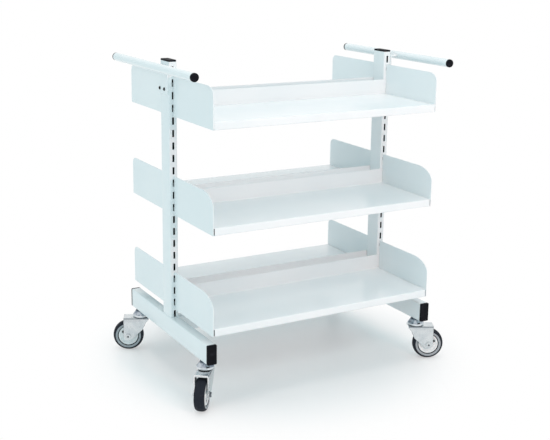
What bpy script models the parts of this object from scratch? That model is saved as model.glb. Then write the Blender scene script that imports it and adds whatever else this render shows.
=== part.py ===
"""Double-sided book trolley: slotted end frames on swivel castors carry hook-in brackets and steel shelves.

Sizes are in metres. X runs along the shelves, -Y is the front, Z is up and the wheels stand on Z = 0.
Blender runs this file as it is; each object it leaves is one piece of the trolley.
"""

import math

import bmesh
import bpy
from mathutils import Matrix, Vector

# Clearances
SEAT_GAP = 0.0003  # between two pieces that touch

# End frames
FRAME_SPACING = 0.766  # between the slot planes of the two uprights
UPRIGHT_WIDTH = 0.025
UPRIGHT_DEPTH = 0.060
UPRIGHT_WALL = 0.002
FOOT_WIDTH = 0.030
FOOT_HEIGHT = 0.060
FOOT_LENGTH = 0.578  # over the end caps
FOOT_WALL = 0.002

# Slots in the front and back of each upright
SLOT_PITCH = 0.0375
SLOT_LENGTH = 0.022
SLOT_WIDTH = 0.0065
FIRST_SLOT = 0.0125  # centre of the lowest slot above the foot
SLOT_TOP_MARGIN = 0.0135  # wall left above the highest slot
SLOTS_ABOVE = 1  # free slots over the highest hook

# Black end caps
FOOT_CAP_FLANGE = 0.005
FOOT_CAP_PLUG = 0.015
UPRIGHT_CAP_FLANGE = 0.005
UPRIGHT_CAP_PLUG = 0.006
CAP_EDGE = 0.001

# Rails that tie the end frames
BOTTOM_RAIL_DEPTH = 0.030
BOTTOM_RAIL_HEIGHT = 0.050
TOP_RAIL_DEPTH = 0.025
TOP_RAIL_HEIGHT = 0.040
TOP_RAIL_DROP = 0.012  # below the top edge of the highest upstands
RAIL_WALL = 0.002

# Push handles
HANDLE_DIAMETER = 0.025
HANDLE_WALL = 0.0015
HANDLE_LENGTH = 0.570
HANDLE_CLEARANCE = 0.026  # from the upright's outer face to the tube
HANDLE_BELOW_TOP = 0.019  # tube axis below the top of the upright
PLUG_RIM = 0.0015
PLUG_DOME = 0.006
PLUG_SHANK = 0.018
PLATE_THICKNESS = 0.005
PLATE_DROP = 0.083  # from the tube axis down to the plate's lower edge
PLATE_BEND = 0.008  # outside of the fold

# Shelf brackets
BRACKET_SHEET = 0.002
BRACKET_REACH = 0.293  # from the middle of the trolley to the shelf front
HOOK_SLOT = 0.024  # centre of the lower hook's slot above the bracket's bottom edge
HOOK_STEP = 2  # slots from one hook to the next
BRACKET_ABOVE_HOOK = 0.021  # top edge above the upper hook's slot
HOOK_TAB = 0.011
HOOK_DROP = 0.008
HOOK_THICKNESS = 0.004
LEDGE_WIDTH = 0.012
LEDGE_END_SPACE = 0.016  # ledge kept clear of the upright and of the shelf's lip
LEVEL_SLOTS = {"bottom": 1, "middle": 9, "top": 17}  # slot of the lower hook, counted from the foot
LARGE_CORNER = (0.072, 0.042)  # rounded outer corner, along the depth and the height
SMALL_CORNER = (0.038, 0.024)
BACK_CORNER = (0.022, 0.018)

# Shelves
SHELF_SHEET = 0.0015
LIP_HEIGHT = 0.0235
LIP_RETURN = 0.010
UPSTAND_HEIGHT = 0.048
SHELF_BEND = 0.003

# Castors
CASTOR_INSET = 0.045  # swivel axis from the end of the foot
CASTOR_TRAIL = 0.042
WHEEL_DIAMETER = 0.100
WHEEL_WIDTH = 0.032
TYRE_DEPTH = 0.018  # from the tread to the hub
HUB_BOSS_RADIUS = 0.011
HUB_RIM = 0.005
HUB_WEB = 0.024  # thickness of the hub's disc
HUB_RIM_WIDTH = 0.029
HUB_HOLE_RADIUS = 0.0042
HUB_HOLE_MARGIN = 0.002  # web left between the hole and the rim
TYRE_SHOULDER = 0.004
FORK_SHEET = 0.003
FORK_SIDE_SPACE = 0.003  # between the wheel and each cheek
FORK_TOP_SPACE = 0.0105  # between the wheel and the top plate
FORK_LEAD = 0.026  # from the swivel axis to the front of the fork
FORK_EAR = 0.0145  # radius of the cheek round the axle
FORK_KNEE_LEAD = 0.005  # corner of the leading edge, ahead of the swivel axis
FORK_KNEE_RISE = 0.022  # and above the axle
FORK_BEND = 0.005
AXLE_RADIUS = 0.005
AXLE_HEAD_RADIUS = 0.0085
AXLE_HEAD = 0.005
HEAD_TOP_RADIUS = 0.015
HEAD_RADIUS = 0.0265
HEAD_DOME = 0.0165
HEAD_RIM = 0.0025
HEAD_OVERHANG = 0.007  # head beyond the ball race
RACE_HEIGHT = 0.0055
KINGPIN_RADIUS = 0.006
KINGPIN_BUTTON = 0.010
STUD_RADIUS = 0.005
STUD_LENGTH = 0.012
CASTOR_HEADINGS = {  # direction in which each wheel trails, in degrees from +X
    "front_left": -129,
    "front_right": -27,
    "back_left": 153,
    "back_right": 51,
}
HUB_HOLE_ANGLES = {  # where each hub's hole stands, in degrees up from the trailing side
    "front_left": -90,
    "front_right": 40,
    "back_left": 40,
    "back_right": -90,
}

# Facets
WHEEL_SIDES = 24
ROUND_SIDES = 16
BORE_SIDES = 16
HEXAGON = 6
BEND_STEPS = 3
CORNER_STEPS = 8

# Heights and places that follow from the sizes above
WHEEL_RADIUS = WHEEL_DIAMETER / 2
HUB_RADIUS = WHEEL_RADIUS - TYRE_DEPTH
FORK_INSIDE = WHEEL_WIDTH + 2 * FORK_SIDE_SPACE
FORK_WIDTH = FORK_INSIDE + 2 * FORK_SHEET
FORK_TOP = WHEEL_DIAMETER + FORK_TOP_SPACE + FORK_SHEET
HUB_WIDTH = FORK_INSIDE - 2 * SEAT_GAP
CASTOR_HEIGHT = FORK_TOP + RACE_HEIGHT + HEAD_RIM + HEAD_DOME + 2 * SEAT_GAP  # floor to the foot
FOOT_TOP = CASTOR_HEIGHT + FOOT_HEIGHT
TOP_SLOT = LEVEL_SLOTS["top"] + HOOK_STEP + SLOTS_ABOVE
UPRIGHT_LENGTH = FIRST_SLOT + TOP_SLOT * SLOT_PITCH + SLOT_LENGTH / 2 + SLOT_TOP_MARGIN
UPRIGHT_TOP = FOOT_TOP + UPRIGHT_LENGTH + UPRIGHT_CAP_FLANGE
UPRIGHT_FACE = UPRIGHT_DEPTH / 2
SLOT_PLANE = FRAME_SPACING / 2  # the feet are centred under it
BRACKET_PLANE = SLOT_PLANE - SLOT_WIDTH / 2 + SEAT_GAP + BRACKET_SHEET / 2  # at the slots' inner edge
FRAME_OUTSIDE = SLOT_PLANE + UPRIGHT_WIDTH / 2
BRACKET_HEIGHT = HOOK_SLOT + HOOK_STEP * SLOT_PITCH + BRACKET_ABOVE_HOOK
HANDLE_PLANE = FRAME_OUTSIDE + HANDLE_CLEARANCE + HANDLE_DIAMETER / 2
HANDLE_AXIS = UPRIGHT_TOP - HANDLE_BELOW_TOP
SHELF_BACK = UPRIGHT_FACE + SEAT_GAP + SHELF_SHEET  # front side of the upstand

SIDES = {"left": -1, "right": 1}
ENDS = {"front": -1, "back": 1}


def slot_height(number):
    return FOOT_TOP + FIRST_SLOT + number * SLOT_PITCH


def bracket_bottom(level):
    return slot_height(LEVEL_SLOTS[level]) - HOOK_SLOT


def clear_scene():
    for obj in list(bpy.data.objects):
        bpy.data.objects.remove(obj, do_unlink=True)


def new_collection(name):
    collection = bpy.data.collections.new(name)
    bpy.context.scene.collection.children.link(collection)
    return collection


def new_material(name, color, roughness, metallic=0.0):
    material = bpy.data.materials.new(name)
    material.use_nodes = True
    shader = material.node_tree.nodes["Principled BSDF"]
    shader.inputs["Base Color"].default_value = (*color, 1.0)
    shader.inputs["Roughness"].default_value = roughness
    shader.inputs["Metallic"].default_value = metallic
    return material


clear_scene()
PARTS = new_collection("book_trolley")
CUTTERS = new_collection("book_trolley_cutters")
POWDER_COAT = new_material("white_powder_coat", (0.86, 0.89, 0.90), 0.35)
BLACK_PLASTIC = new_material("black_plastic", (0.02, 0.02, 0.025), 0.45)
ZINC = new_material("zinc_plate", (0.72, 0.75, 0.77), 0.30, 1.0)
HUB_PLASTIC = new_material("grey_hub_plastic", (0.55, 0.57, 0.58), 0.50)
TYRE_RUBBER = new_material("dark_grey_rubber", (0.10, 0.105, 0.115), 0.70)


def add_piece(name, mesh, material, location=(0, 0, 0), turn=0.0, parent=None):
    """Puts a mesh in the scene as one piece, turned about the vertical."""
    piece = bpy.data.objects.new(name, mesh)
    mesh.materials.append(material)
    piece.location = location
    piece.rotation_euler = (0, 0, turn)
    piece.parent = parent
    PARTS.objects.link(piece)
    return piece


def shape_with(piece, operation, mesh):
    """Cuts a mesh from a piece, or joins it on. The mesh is in the piece's own frame."""
    helper = bpy.data.objects.new(f"{piece.name}_{mesh.name}", mesh)
    helper.location = piece.location
    helper.rotation_euler = piece.rotation_euler
    helper.parent = piece.parent
    helper.hide_render = True
    helper.display_type = "WIRE"
    CUTTERS.objects.link(helper)
    modifier = piece.modifiers.new(mesh.name, "BOOLEAN")
    modifier.operation = operation
    modifier.solver = "EXACT"
    modifier.object = helper


def cut(piece, mesh):
    shape_with(piece, "DIFFERENCE", mesh)


def join(piece, mesh):
    shape_with(piece, "UNION", mesh)


def add_empty(name, location, turn=0.0, parent=None):
    empty = bpy.data.objects.new(name, None)
    empty.location = location
    empty.rotation_euler = (0, 0, turn)
    empty.parent = parent
    PARTS.objects.link(empty)
    return empty


def mesh_of(name, bm, smooth=False):
    mesh = bpy.data.meshes.new(name)
    bm.to_mesh(mesh)
    bm.free()
    if smooth:
        mesh.shade_smooth()
        mesh.set_sharp_from_angle(angle=math.radians(35))
    return mesh


def boxes(name, corners):
    """One mesh of boxes, each given by its lowest and highest corner."""
    bm = bmesh.new()
    for low, high in corners:
        low, high = Vector(low), Vector(high)
        place = Matrix.Translation((low + high) / 2) @ Matrix.Diagonal((*(high - low), 1))
        bmesh.ops.create_cube(bm, size=1, matrix=place)
    return mesh_of(name, bm)


def centred_box(name, size):
    half = Vector(size) / 2
    return boxes(name, [(-half, half)])


def cylinders(name, radius, length, places, sides=BORE_SIDES):
    """One mesh of cylinders; each place is a matrix that carries one from the origin, along Z there."""
    bm = bmesh.new()
    for place in places:
        bmesh.ops.create_cone(
            bm, cap_ends=True, segments=sides, radius1=radius, radius2=radius, depth=length, matrix=place
        )
    return mesh_of(name, bm, smooth=True)


def plate(name, outline, thickness):
    """A flat outline in the XY plane, given a thickness about that plane."""
    curve = bpy.data.curves.new(name, "CURVE")
    curve.dimensions = "2D"
    curve.fill_mode = "BOTH"
    curve.extrude = thickness / 2
    spline = curve.splines.new("POLY")
    spline.points.add(len(outline) - 1)
    for point, (x, y) in zip(spline.points, outline):
        point.co = (x, y, 0, 1)
    spline.use_cyclic_u = True
    guide = bpy.data.objects.new(name, curve)
    CUTTERS.objects.link(guide)
    graph = bpy.context.evaluated_depsgraph_get()
    mesh = bpy.data.meshes.new_from_object(guide.evaluated_get(graph))
    bpy.data.objects.remove(guide)
    bm = bmesh.new()
    bm.from_mesh(mesh)
    bmesh.ops.remove_doubles(bm, verts=bm.verts, dist=1e-6)
    bmesh.ops.recalc_face_normals(bm, faces=bm.faces)
    return mesh_of(name, bm)


def upright_plate(name, outline, thickness):
    """A plate whose outline is given along Y and Z, with its thickness along X."""
    mesh = plate(name, outline, thickness)
    mesh.transform(Matrix.Rotation(math.pi / 2, 4, "Z") @ Matrix.Rotation(math.pi / 2, 4, "X"))
    return mesh


def profile_plate(name, outline, length):
    """A section given along X and Z, carried along Y."""
    mesh = plate(name, outline, length)
    mesh.transform(Matrix.Rotation(math.pi / 2, 4, "X"))
    return mesh


def turned(piece_name, profile, sides, material, closed=False, along=None, phase=0.0, **placing):
    """A profile of (radius, height) points turned about the piece's Z axis, or the axis that along sets."""
    bm = bmesh.new()
    points = [(r * math.cos(phase), r * math.sin(phase), z) for r, z in profile]
    verts = [bm.verts.new(point) for point in points]
    for first, second in zip(verts, verts[1:]):
        bm.edges.new((first, second))
    if closed:
        bm.edges.new((verts[-1], verts[0]))
    piece = add_piece(piece_name, mesh_of(piece_name, bm), material, **placing)
    if along:
        piece.rotation_euler = along
    screw = piece.modifiers.new("turn", "SCREW")
    screw.steps = screw.render_steps = sides
    screw.use_merge_vertices = True
    screw.merge_threshold = 1e-5
    screw.use_smooth_shade = True
    return piece


def rounded_path(corners, radius):
    """A path through the corners, with an arc in place of each corner between its ends."""
    corners = [Vector(corner) for corner in corners]
    path = [corners[0]]
    for before, corner, after in zip(corners, corners[1:], corners[2:]):
        arriving = (corner - before).normalized()
        leaving = (after - corner).normalized()
        half_turn = arriving.angle(leaving) / 2
        start = corner - arriving * radius * math.tan(half_turn)
        end = corner + leaving * radius * math.tan(half_turn)
        centre = corner + (leaving - arriving).normalized() * radius / math.cos(half_turn)
        first, last = (start - centre).normalized(), (end - centre).normalized()
        for step in range(BEND_STEPS + 1):
            path.append(centre + radius * first.slerp(last, step / BEND_STEPS))
    return path + [corners[-1]]


def folded_sheet(name, path, length, thickness):
    """Sheet metal folded along a path of (y, z) points and carried along X. The path is its visible side."""
    bm = bmesh.new()
    verts = [bm.verts.new((-length / 2, y, z)) for y, z in path]
    edges = [bm.edges.new(pair) for pair in zip(verts, verts[1:])]
    swept = bmesh.ops.extrude_edge_only(bm, edges=edges)["geom"]
    far_end = [item for item in swept if isinstance(item, bmesh.types.BMVert)]
    bmesh.ops.translate(bm, vec=(length, 0, 0), verts=far_end)
    bm.normal_update()
    if sum(face.normal.z * face.calc_area() for face in bm.faces) < 0:
        bmesh.ops.reverse_faces(bm, faces=bm.faces)
    piece = add_piece(name, mesh_of(name, bm), POWDER_COAT)
    solidify = piece.modifiers.new("sheet", "SOLIDIFY")
    solidify.thickness = thickness
    solidify.offset = -1
    solidify.use_even_offset = True
    return piece


def add_upright(side):
    """Rectangular tube with a column of slots through its front and back walls."""
    x = SIDES[side] * SLOT_PLANE
    low, high = FOOT_TOP + SEAT_GAP, UPRIGHT_TOP - UPRIGHT_CAP_FLANGE - SEAT_GAP
    name = f"upright_{side}"
    tube = add_piece(
        name,
        boxes(name, [((-UPRIGHT_WIDTH / 2, -UPRIGHT_FACE, low), (UPRIGHT_WIDTH / 2, UPRIGHT_FACE, high))]),
        POWDER_COAT,
        (x, 0, 0),
    )
    inside = (UPRIGHT_WIDTH / 2 - UPRIGHT_WALL, UPRIGHT_FACE - UPRIGHT_WALL)
    past = UPRIGHT_WALL
    cut(tube, boxes("bore", [((-inside[0], -inside[1], low - past), (inside[0], inside[1], high + past))]))
    slots = []
    for number in range(TOP_SLOT + 1):
        middle = slot_height(number)
        slots.append(
            (
                (-SLOT_WIDTH / 2, -UPRIGHT_FACE - past, middle - SLOT_LENGTH / 2),
                (SLOT_WIDTH / 2, UPRIGHT_FACE + past, middle + SLOT_LENGTH / 2),
            )
        )
    cut(tube, boxes("slots", slots))


def add_upright_cap(side):
    """Black lid with a short plug inside the upright."""
    name = f"upright_cap_{side}"
    top = UPRIGHT_TOP - UPRIGHT_CAP_FLANGE / 2
    cap = add_piece(
        name,
        centred_box(name, (UPRIGHT_WIDTH, UPRIGHT_DEPTH, UPRIGHT_CAP_FLANGE)),
        BLACK_PLASTIC,
        (SIDES[side] * SLOT_PLANE, 0, top),
    )
    round_edges(cap)
    margin = UPRIGHT_WALL + SEAT_GAP
    half = Vector((UPRIGHT_WIDTH / 2 - margin, UPRIGHT_FACE - margin, 0))
    reach = Vector((0, 0, UPRIGHT_CAP_FLANGE / 2 + UPRIGHT_CAP_PLUG))
    join(cap, boxes("plug", [(-half - reach, half)]))


def round_edges(cap):
    bevel = cap.modifiers.new("edges", "BEVEL")
    bevel.width = CAP_EDGE
    bevel.segments = 2


def add_foot(side):
    """Rectangular tube along Y with a hole for each castor's stud in its lower wall."""
    x = SIDES[side] * SLOT_PLANE
    name = f"foot_beam_{side}"
    length = FOOT_LENGTH - 2 * (FOOT_CAP_FLANGE + SEAT_GAP)
    beam = add_piece(
        name,
        centred_box(name, (FOOT_WIDTH, length, FOOT_HEIGHT)),
        POWDER_COAT,
        (x, 0, CASTOR_HEIGHT + FOOT_HEIGHT / 2),
    )
    inside = (FOOT_WIDTH - 2 * FOOT_WALL, length + 2 * FOOT_WALL, FOOT_HEIGHT - 2 * FOOT_WALL)
    cut(beam, centred_box("bore", inside))
    swivel = FOOT_LENGTH / 2 - CASTOR_INSET
    holes = [Matrix.Translation((0, end * swivel, -FOOT_HEIGHT / 2)) for end in ENDS.values()]
    cut(beam, cylinders("stud_holes", STUD_RADIUS + SEAT_GAP, 4 * FOOT_WALL, holes))


def add_foot_cap(side, end):
    """Black plastic cap that closes one end of a foot, with a plug inside the tube."""
    name = f"foot_cap_{side}_{end}"
    out = ENDS[end]
    cap = add_piece(
        name,
        centred_box(name, (FOOT_WIDTH, FOOT_CAP_FLANGE, FOOT_HEIGHT)),
        BLACK_PLASTIC,
        (
            SIDES[side] * SLOT_PLANE,
            out * (FOOT_LENGTH - FOOT_CAP_FLANGE) / 2,
            CASTOR_HEIGHT + FOOT_HEIGHT / 2,
        ),
        turn=math.pi if end == "back" else 0,
    )
    round_edges(cap)
    margin = FOOT_WALL + SEAT_GAP
    half = Vector((FOOT_WIDTH / 2 - margin, 0, FOOT_HEIGHT / 2 - margin))
    reach = Vector((0, FOOT_CAP_FLANGE / 2 + FOOT_CAP_PLUG, 0))
    join(cap, boxes("plug", [(-half, half + reach)]))


def add_rail(name, length, depth, height, middle):
    """Rectangular tube along X between the two end frames."""
    rail = add_piece(name, centred_box(name, (length, depth, height)), POWDER_COAT, (0, 0, middle))
    cut(rail, centred_box("bore", (length + 2 * RAIL_WALL, depth - 2 * RAIL_WALL, height - 2 * RAIL_WALL)))


def add_rails():
    between_feet = 2 * (SLOT_PLANE - FOOT_WIDTH / 2 - SEAT_GAP)
    between_uprights = 2 * (SLOT_PLANE - UPRIGHT_WIDTH / 2 - SEAT_GAP)
    upstand_top = bracket_bottom("top") + LIP_HEIGHT + UPSTAND_HEIGHT
    add_rail(
        "cross_rail_bottom",
        between_feet,
        BOTTOM_RAIL_DEPTH,
        BOTTOM_RAIL_HEIGHT,
        CASTOR_HEIGHT + FOOT_HEIGHT / 2,
    )
    add_rail(
        "cross_rail_top",
        between_uprights,
        TOP_RAIL_DEPTH,
        TOP_RAIL_HEIGHT,
        upstand_top - TOP_RAIL_DROP - TOP_RAIL_HEIGHT / 2,
    )


def add_handle(side):
    """Straight push tube along Y with a domed plug in each end."""
    x = SIDES[side] * HANDLE_PLANE
    outer = HANDLE_DIAMETER / 2
    inner = outer - HANDLE_WALL
    half = HANDLE_LENGTH / 2
    lying = (math.pi / 2, 0, 0)
    turned(
        f"handle_tube_{side}",
        [(outer, half), (outer, -half), (inner, -half), (inner, half)],
        ROUND_SIDES,
        POWDER_COAT,
        closed=True,
        along=lying,
        location=(x, 0, HANDLE_AXIS),
    )
    shank = inner - SEAT_GAP
    dome = []
    for step in range(4):
        angle = math.radians(90 - 30 * step)
        dome.append((outer * math.cos(angle), PLUG_RIM + PLUG_DOME * math.sin(angle)))
    dome[0] = (0, PLUG_RIM + PLUG_DOME)
    profile = dome + [(outer, 0), (shank, 0), (shank, -PLUG_SHANK), (0, -PLUG_SHANK)]
    for end, out in ENDS.items():
        turned(
            f"handle_plug_{side}_{end}",
            profile,
            ROUND_SIDES,
            BLACK_PLASTIC,
            along=(-out * math.pi / 2, 0, 0),
            location=(x, out * (half + SEAT_GAP), HANDLE_AXIS),
        )


def add_handle_plate(side):
    """Folded plate: one leg lies on the upright, the other carries the tube at its side."""
    inside = UPRIGHT_WIDTH / 2 + SEAT_GAP
    outside = inside + PLATE_THICKNESS
    tip = UPRIGHT_WIDTH / 2 + HANDLE_CLEARANCE - SEAT_GAP
    top = PLATE_THICKNESS / 2
    fold = Vector((inside + PLATE_BEND, top - PLATE_BEND))
    outline = [(inside, -PLATE_DROP), (outside, -PLATE_DROP), (outside, -top), (tip, -top), (tip, top)]
    for step in range(BEND_STEPS + 1):
        angle = math.pi / 2 * (1 + step / BEND_STEPS)
        outline.append((fold.x + PLATE_BEND * math.cos(angle), fold.y + PLATE_BEND * math.sin(angle)))
    name = f"handle_plate_{side}"
    add_piece(
        name,
        profile_plate(name, outline, UPRIGHT_DEPTH),
        POWDER_COAT,
        (SIDES[side] * SLOT_PLANE, 0, HANDLE_AXIS),
        turn=math.pi if side == "left" else 0,
    )


def corner_of(level, end):
    if end == "back":
        return BACK_CORNER
    return SMALL_CORNER if level == "top" else LARGE_CORNER


def bracket_outline(corner):
    """Side panel in its own plane: Y runs out from the upright's face, Z up from the bottom edge."""
    near = SEAT_GAP
    far = BRACKET_REACH - UPRIGHT_FACE
    along, tall = corner
    outline = [(near, 0), (far, 0)]
    for step in range(CORNER_STEPS + 1):
        angle = math.pi / 2 * step / CORNER_STEPS
        outline.append(
            (far - along + along * math.cos(angle), BRACKET_HEIGHT - tall + tall * math.sin(angle))
        )
    outline.append((near, BRACKET_HEIGHT))
    behind = -UPRIGHT_WALL - SEAT_GAP
    for slot in (HOOK_SLOT + HOOK_STEP * SLOT_PITCH, HOOK_SLOT):
        seat = slot - SLOT_LENGTH / 2 + SEAT_GAP
        outline += [
            (near, seat + HOOK_TAB),
            (behind - HOOK_THICKNESS, seat + HOOK_TAB),
            (behind - HOOK_THICKNESS, seat - HOOK_DROP),
            (behind, seat - HOOK_DROP),
            (behind, seat),
            (near, seat),
        ]
    return outline


def add_bracket(level, end, side):
    """Side panel of a shelf: hooks into two slots and holds the shelf on an inside ledge."""
    name = f"bracket_{level}_{end}_{side}"
    panel = add_piece(
        name,
        upright_plate(name, bracket_outline(corner_of(level, end)), BRACKET_SHEET),
        POWDER_COAT,
        (SIDES[side] * BRACKET_PLANE, ENDS[end] * UPRIGHT_FACE, bracket_bottom(level)),
        turn=math.pi if end == "front" else 0,
    )
    inward = -SIDES[side] * (1 if end == "back" else -1)
    reach = inward * (BRACKET_SHEET / 2 + LEDGE_WIDTH)
    ledge_top = LIP_HEIGHT - SHELF_SHEET - SEAT_GAP
    low = (min(0, reach), LEDGE_END_SPACE, ledge_top - BRACKET_SHEET)
    high = (max(0, reach), BRACKET_REACH - UPRIGHT_FACE - LEDGE_END_SPACE, ledge_top)
    join(panel, boxes("ledge", [(low, high)]))


def add_shelf(level, end):
    """Tray of folded sheet: upstand at the back, flat shelf, and a lip that turns under at the front."""
    path = rounded_path(
        [
            (-SHELF_BACK, LIP_HEIGHT + UPSTAND_HEIGHT),
            (-SHELF_BACK, LIP_HEIGHT),
            (-BRACKET_REACH, LIP_HEIGHT),
            (-BRACKET_REACH, 0),
            (-BRACKET_REACH + LIP_RETURN, 0),
        ],
        SHELF_BEND,
    )
    length = 2 * (BRACKET_PLANE - SEAT_GAP) - BRACKET_SHEET
    shelf = folded_sheet(f"shelf_{level}_{end}", path, length, SHELF_SHEET)
    shelf.location = (0, 0, bracket_bottom(level))
    shelf.rotation_euler = (0, 0, math.pi if end == "back" else 0)


def fork_outline():
    """Side of the fork: flat top, straight trailing edge, ear round the axle and a bent leading edge."""
    axle = Vector((CASTOR_TRAIL, WHEEL_RADIUS))
    lead = Vector((-FORK_LEAD, FORK_TOP))
    knee = Vector((-FORK_KNEE_LEAD, WHEEL_RADIUS + FORK_KNEE_RISE))
    toward_axle = axle - knee
    slope = math.atan2(toward_axle.y, toward_axle.x)
    tangent = slope - math.pi / 2 - math.asin(FORK_EAR / toward_axle.length)
    outline = [lead, Vector((CASTOR_TRAIL + FORK_EAR, FORK_TOP))]
    for step in range(CORNER_STEPS + 1):
        angle = tangent * step / CORNER_STEPS
        outline.append(axle + FORK_EAR * Vector((math.cos(angle), math.sin(angle))))
    return outline + [knee]


def add_fork(name, swivel):
    """Pressed steel fork: two cheeks under a top plate that carries the ball race."""
    mesh = profile_plate(name, fork_outline(), FORK_WIDTH)
    bm = bmesh.new()
    bm.from_mesh(mesh)
    folds = [
        edge
        for edge in bm.edges
        if all(abs(v.co.z - FORK_TOP) < 1e-5 for v in edge.verts)
        and abs(edge.verts[0].co.y - edge.verts[1].co.y) < 1e-5
        and abs(edge.verts[0].co.y) > FORK_INSIDE / 2
    ]
    bmesh.ops.bevel(bm, geom=folds, offset=FORK_BEND, segments=BEND_STEPS, profile=0.5, affect="EDGES")
    bm.to_mesh(mesh)
    bm.free()
    fork = add_piece(name, mesh, ZINC, parent=swivel)
    inner = FORK_INSIDE / 2
    outer = CASTOR_TRAIL + WHEEL_DIAMETER
    cut(fork, boxes("wheel_space", [((-outer, -inner, -inner), (outer, inner, FORK_TOP - FORK_SHEET))]))
    sunk = FORK_SHEET / 2
    race_middle = Matrix.Translation((0, 0, FORK_TOP + (RACE_HEIGHT - sunk) / 2))
    race_radius = HEAD_RADIUS - HEAD_OVERHANG
    join(fork, cylinders("ball_race", race_radius, RACE_HEIGHT + sunk, [race_middle], ROUND_SIDES))
    plate_middle = Matrix.Translation((0, 0, FORK_TOP))
    bore = KINGPIN_RADIUS + SEAT_GAP
    cut(fork, cylinders("kingpin_bore", bore, 4 * (RACE_HEIGHT + FORK_SHEET), [plate_middle]))
    across = Matrix.Translation((CASTOR_TRAIL, 0, WHEEL_RADIUS)) @ Matrix.Rotation(math.pi / 2, 4, "X")
    cut(fork, cylinders("axle_bores", AXLE_RADIUS + SEAT_GAP, 2 * FORK_WIDTH, [across]))


def add_axle(name, wheel_centre):
    """Axle bolt: round head on one cheek, hexagon nut on the other with the bolt's end through it."""
    lying = Matrix.Rotation(math.pi / 2, 4, "X")
    seat = FORK_WIDTH / 2 + SEAT_GAP
    head, nut = -seat - AXLE_HEAD / 2, seat + AXLE_HEAD / 2
    tip = seat + AXLE_HEAD + AXLE_RADIUS / 4
    shank = Matrix.Translation((0, (head + tip) / 2, 0)) @ lying
    axle = add_piece(name, cylinders(name, AXLE_RADIUS, tip - head, [shank]), ZINC, parent=wheel_centre)
    for piece_name, middle, sides in (("head", head, BORE_SIDES), ("nut", nut, HEXAGON)):
        place = Matrix.Translation((0, middle, 0)) @ lying
        join(axle, cylinders(piece_name, AXLE_HEAD_RADIUS, AXLE_HEAD, [place], sides=sides))


def add_hub(name, wheel_centre, hole_angle):
    """Moulded wheel centre: boss, disc with one round hole, and the rim under the tyre."""
    bore = AXLE_RADIUS + SEAT_GAP
    boss, web, rim = HUB_WIDTH / 2, HUB_WEB / 2, HUB_RIM_WIDTH / 2
    inner_rim = HUB_RADIUS - HUB_RIM
    profile = [
        (HUB_RADIUS, rim),
        (HUB_RADIUS, -rim),
        (inner_rim, -rim),
        (inner_rim, -web),
        (HUB_BOSS_RADIUS, -web),
        (HUB_BOSS_RADIUS, -boss),
        (bore, -boss),
        (bore, boss),
        (HUB_BOSS_RADIUS, boss),
        (HUB_BOSS_RADIUS, web),
        (inner_rim, web),
        (inner_rim, rim),
    ]
    hub = turned(
        name,
        profile,
        WHEEL_SIDES,
        HUB_PLASTIC,
        closed=True,
        along=(math.pi / 2, 0, 0),
        phase=math.pi / WHEEL_SIDES,
        parent=wheel_centre,
    )
    ring = inner_rim - HUB_HOLE_MARGIN - HUB_HOLE_RADIUS
    hole = Matrix.Rotation(math.radians(hole_angle), 4, "Z") @ Matrix.Translation((ring, 0, 0))
    cut(hub, cylinders("hole", HUB_HOLE_RADIUS, 2 * HUB_WEB, [hole]))


def add_tyre(name, wheel_centre):
    """Rubber tyre with rounded shoulders; a flat of its outline stands on the floor."""
    tread = WHEEL_RADIUS / math.cos(math.pi / WHEEL_SIDES)
    half = WHEEL_WIDTH / 2
    seat = HUB_RADIUS + SEAT_GAP
    shoulder = TYRE_SHOULDER
    profile = [
        (tread, half - 2 * shoulder),
        (tread, 2 * shoulder - half),
        (tread - shoulder / 3, shoulder - half),
        (tread - 4 * shoulder / 3, -half),
        (seat, -HUB_RIM_WIDTH / 2),
        (seat, HUB_RIM_WIDTH / 2),
        (tread - 4 * shoulder / 3, half),
        (tread - shoulder / 3, half - shoulder),
    ]
    turned(
        name,
        profile,
        WHEEL_SIDES,
        TYRE_RUBBER,
        closed=True,
        along=(math.pi / 2, 0, 0),
        phase=math.pi / WHEEL_SIDES,
        parent=wheel_centre,
    )


def add_head(name, location):
    """Swivel head under the foot: stud, dome, and the kingpin riveted under the fork's top plate."""
    top = -SEAT_GAP
    profile = [(0, STUD_LENGTH), (STUD_RADIUS, STUD_LENGTH), (STUD_RADIUS, top)]
    for step in range(BEND_STEPS + 2):
        angle = math.pi / 2 * step / (BEND_STEPS + 1)
        flare = (HEAD_RADIUS - HEAD_TOP_RADIUS) * math.sin(angle)
        profile.append((HEAD_TOP_RADIUS + flare, top - HEAD_DOME * (1 - math.cos(angle))))
    under = top - HEAD_DOME - HEAD_RIM
    rivet = FORK_TOP - FORK_SHEET - SEAT_GAP - CASTOR_HEIGHT
    profile += [
        (HEAD_RADIUS, under),
        (KINGPIN_RADIUS, under),
        (KINGPIN_RADIUS, rivet),
        (KINGPIN_BUTTON, rivet),
        (KINGPIN_BUTTON, rivet - FORK_SHEET),
        (0, rivet - FORK_SHEET),
    ]
    turned(name, profile, ROUND_SIDES, ZINC, location=location)


def add_castor(end, side):
    """Swivel castor: the head stays on the foot, the fork turns under it and the wheel turns in the fork."""
    spot = f"{end}_{side}"
    x = SIDES[side] * SLOT_PLANE
    y = ENDS[end] * (FOOT_LENGTH / 2 - CASTOR_INSET)
    add_head(f"castor_{spot}_head", (x, y, CASTOR_HEIGHT))
    swivel = add_empty(f"castor_{spot}_swivel", (x, y, 0), math.radians(CASTOR_HEADINGS[spot]))
    wheel_centre = add_empty(
        f"castor_{spot}_wheel_centre", (CASTOR_TRAIL, 0, WHEEL_RADIUS), parent=swivel
    )
    add_fork(f"castor_{spot}_fork", swivel)
    add_axle(f"castor_{spot}_axle", wheel_centre)
    add_hub(f"castor_{spot}_hub", wheel_centre, HUB_HOLE_ANGLES[spot])
    add_tyre(f"castor_{spot}_tyre", wheel_centre)


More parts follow.
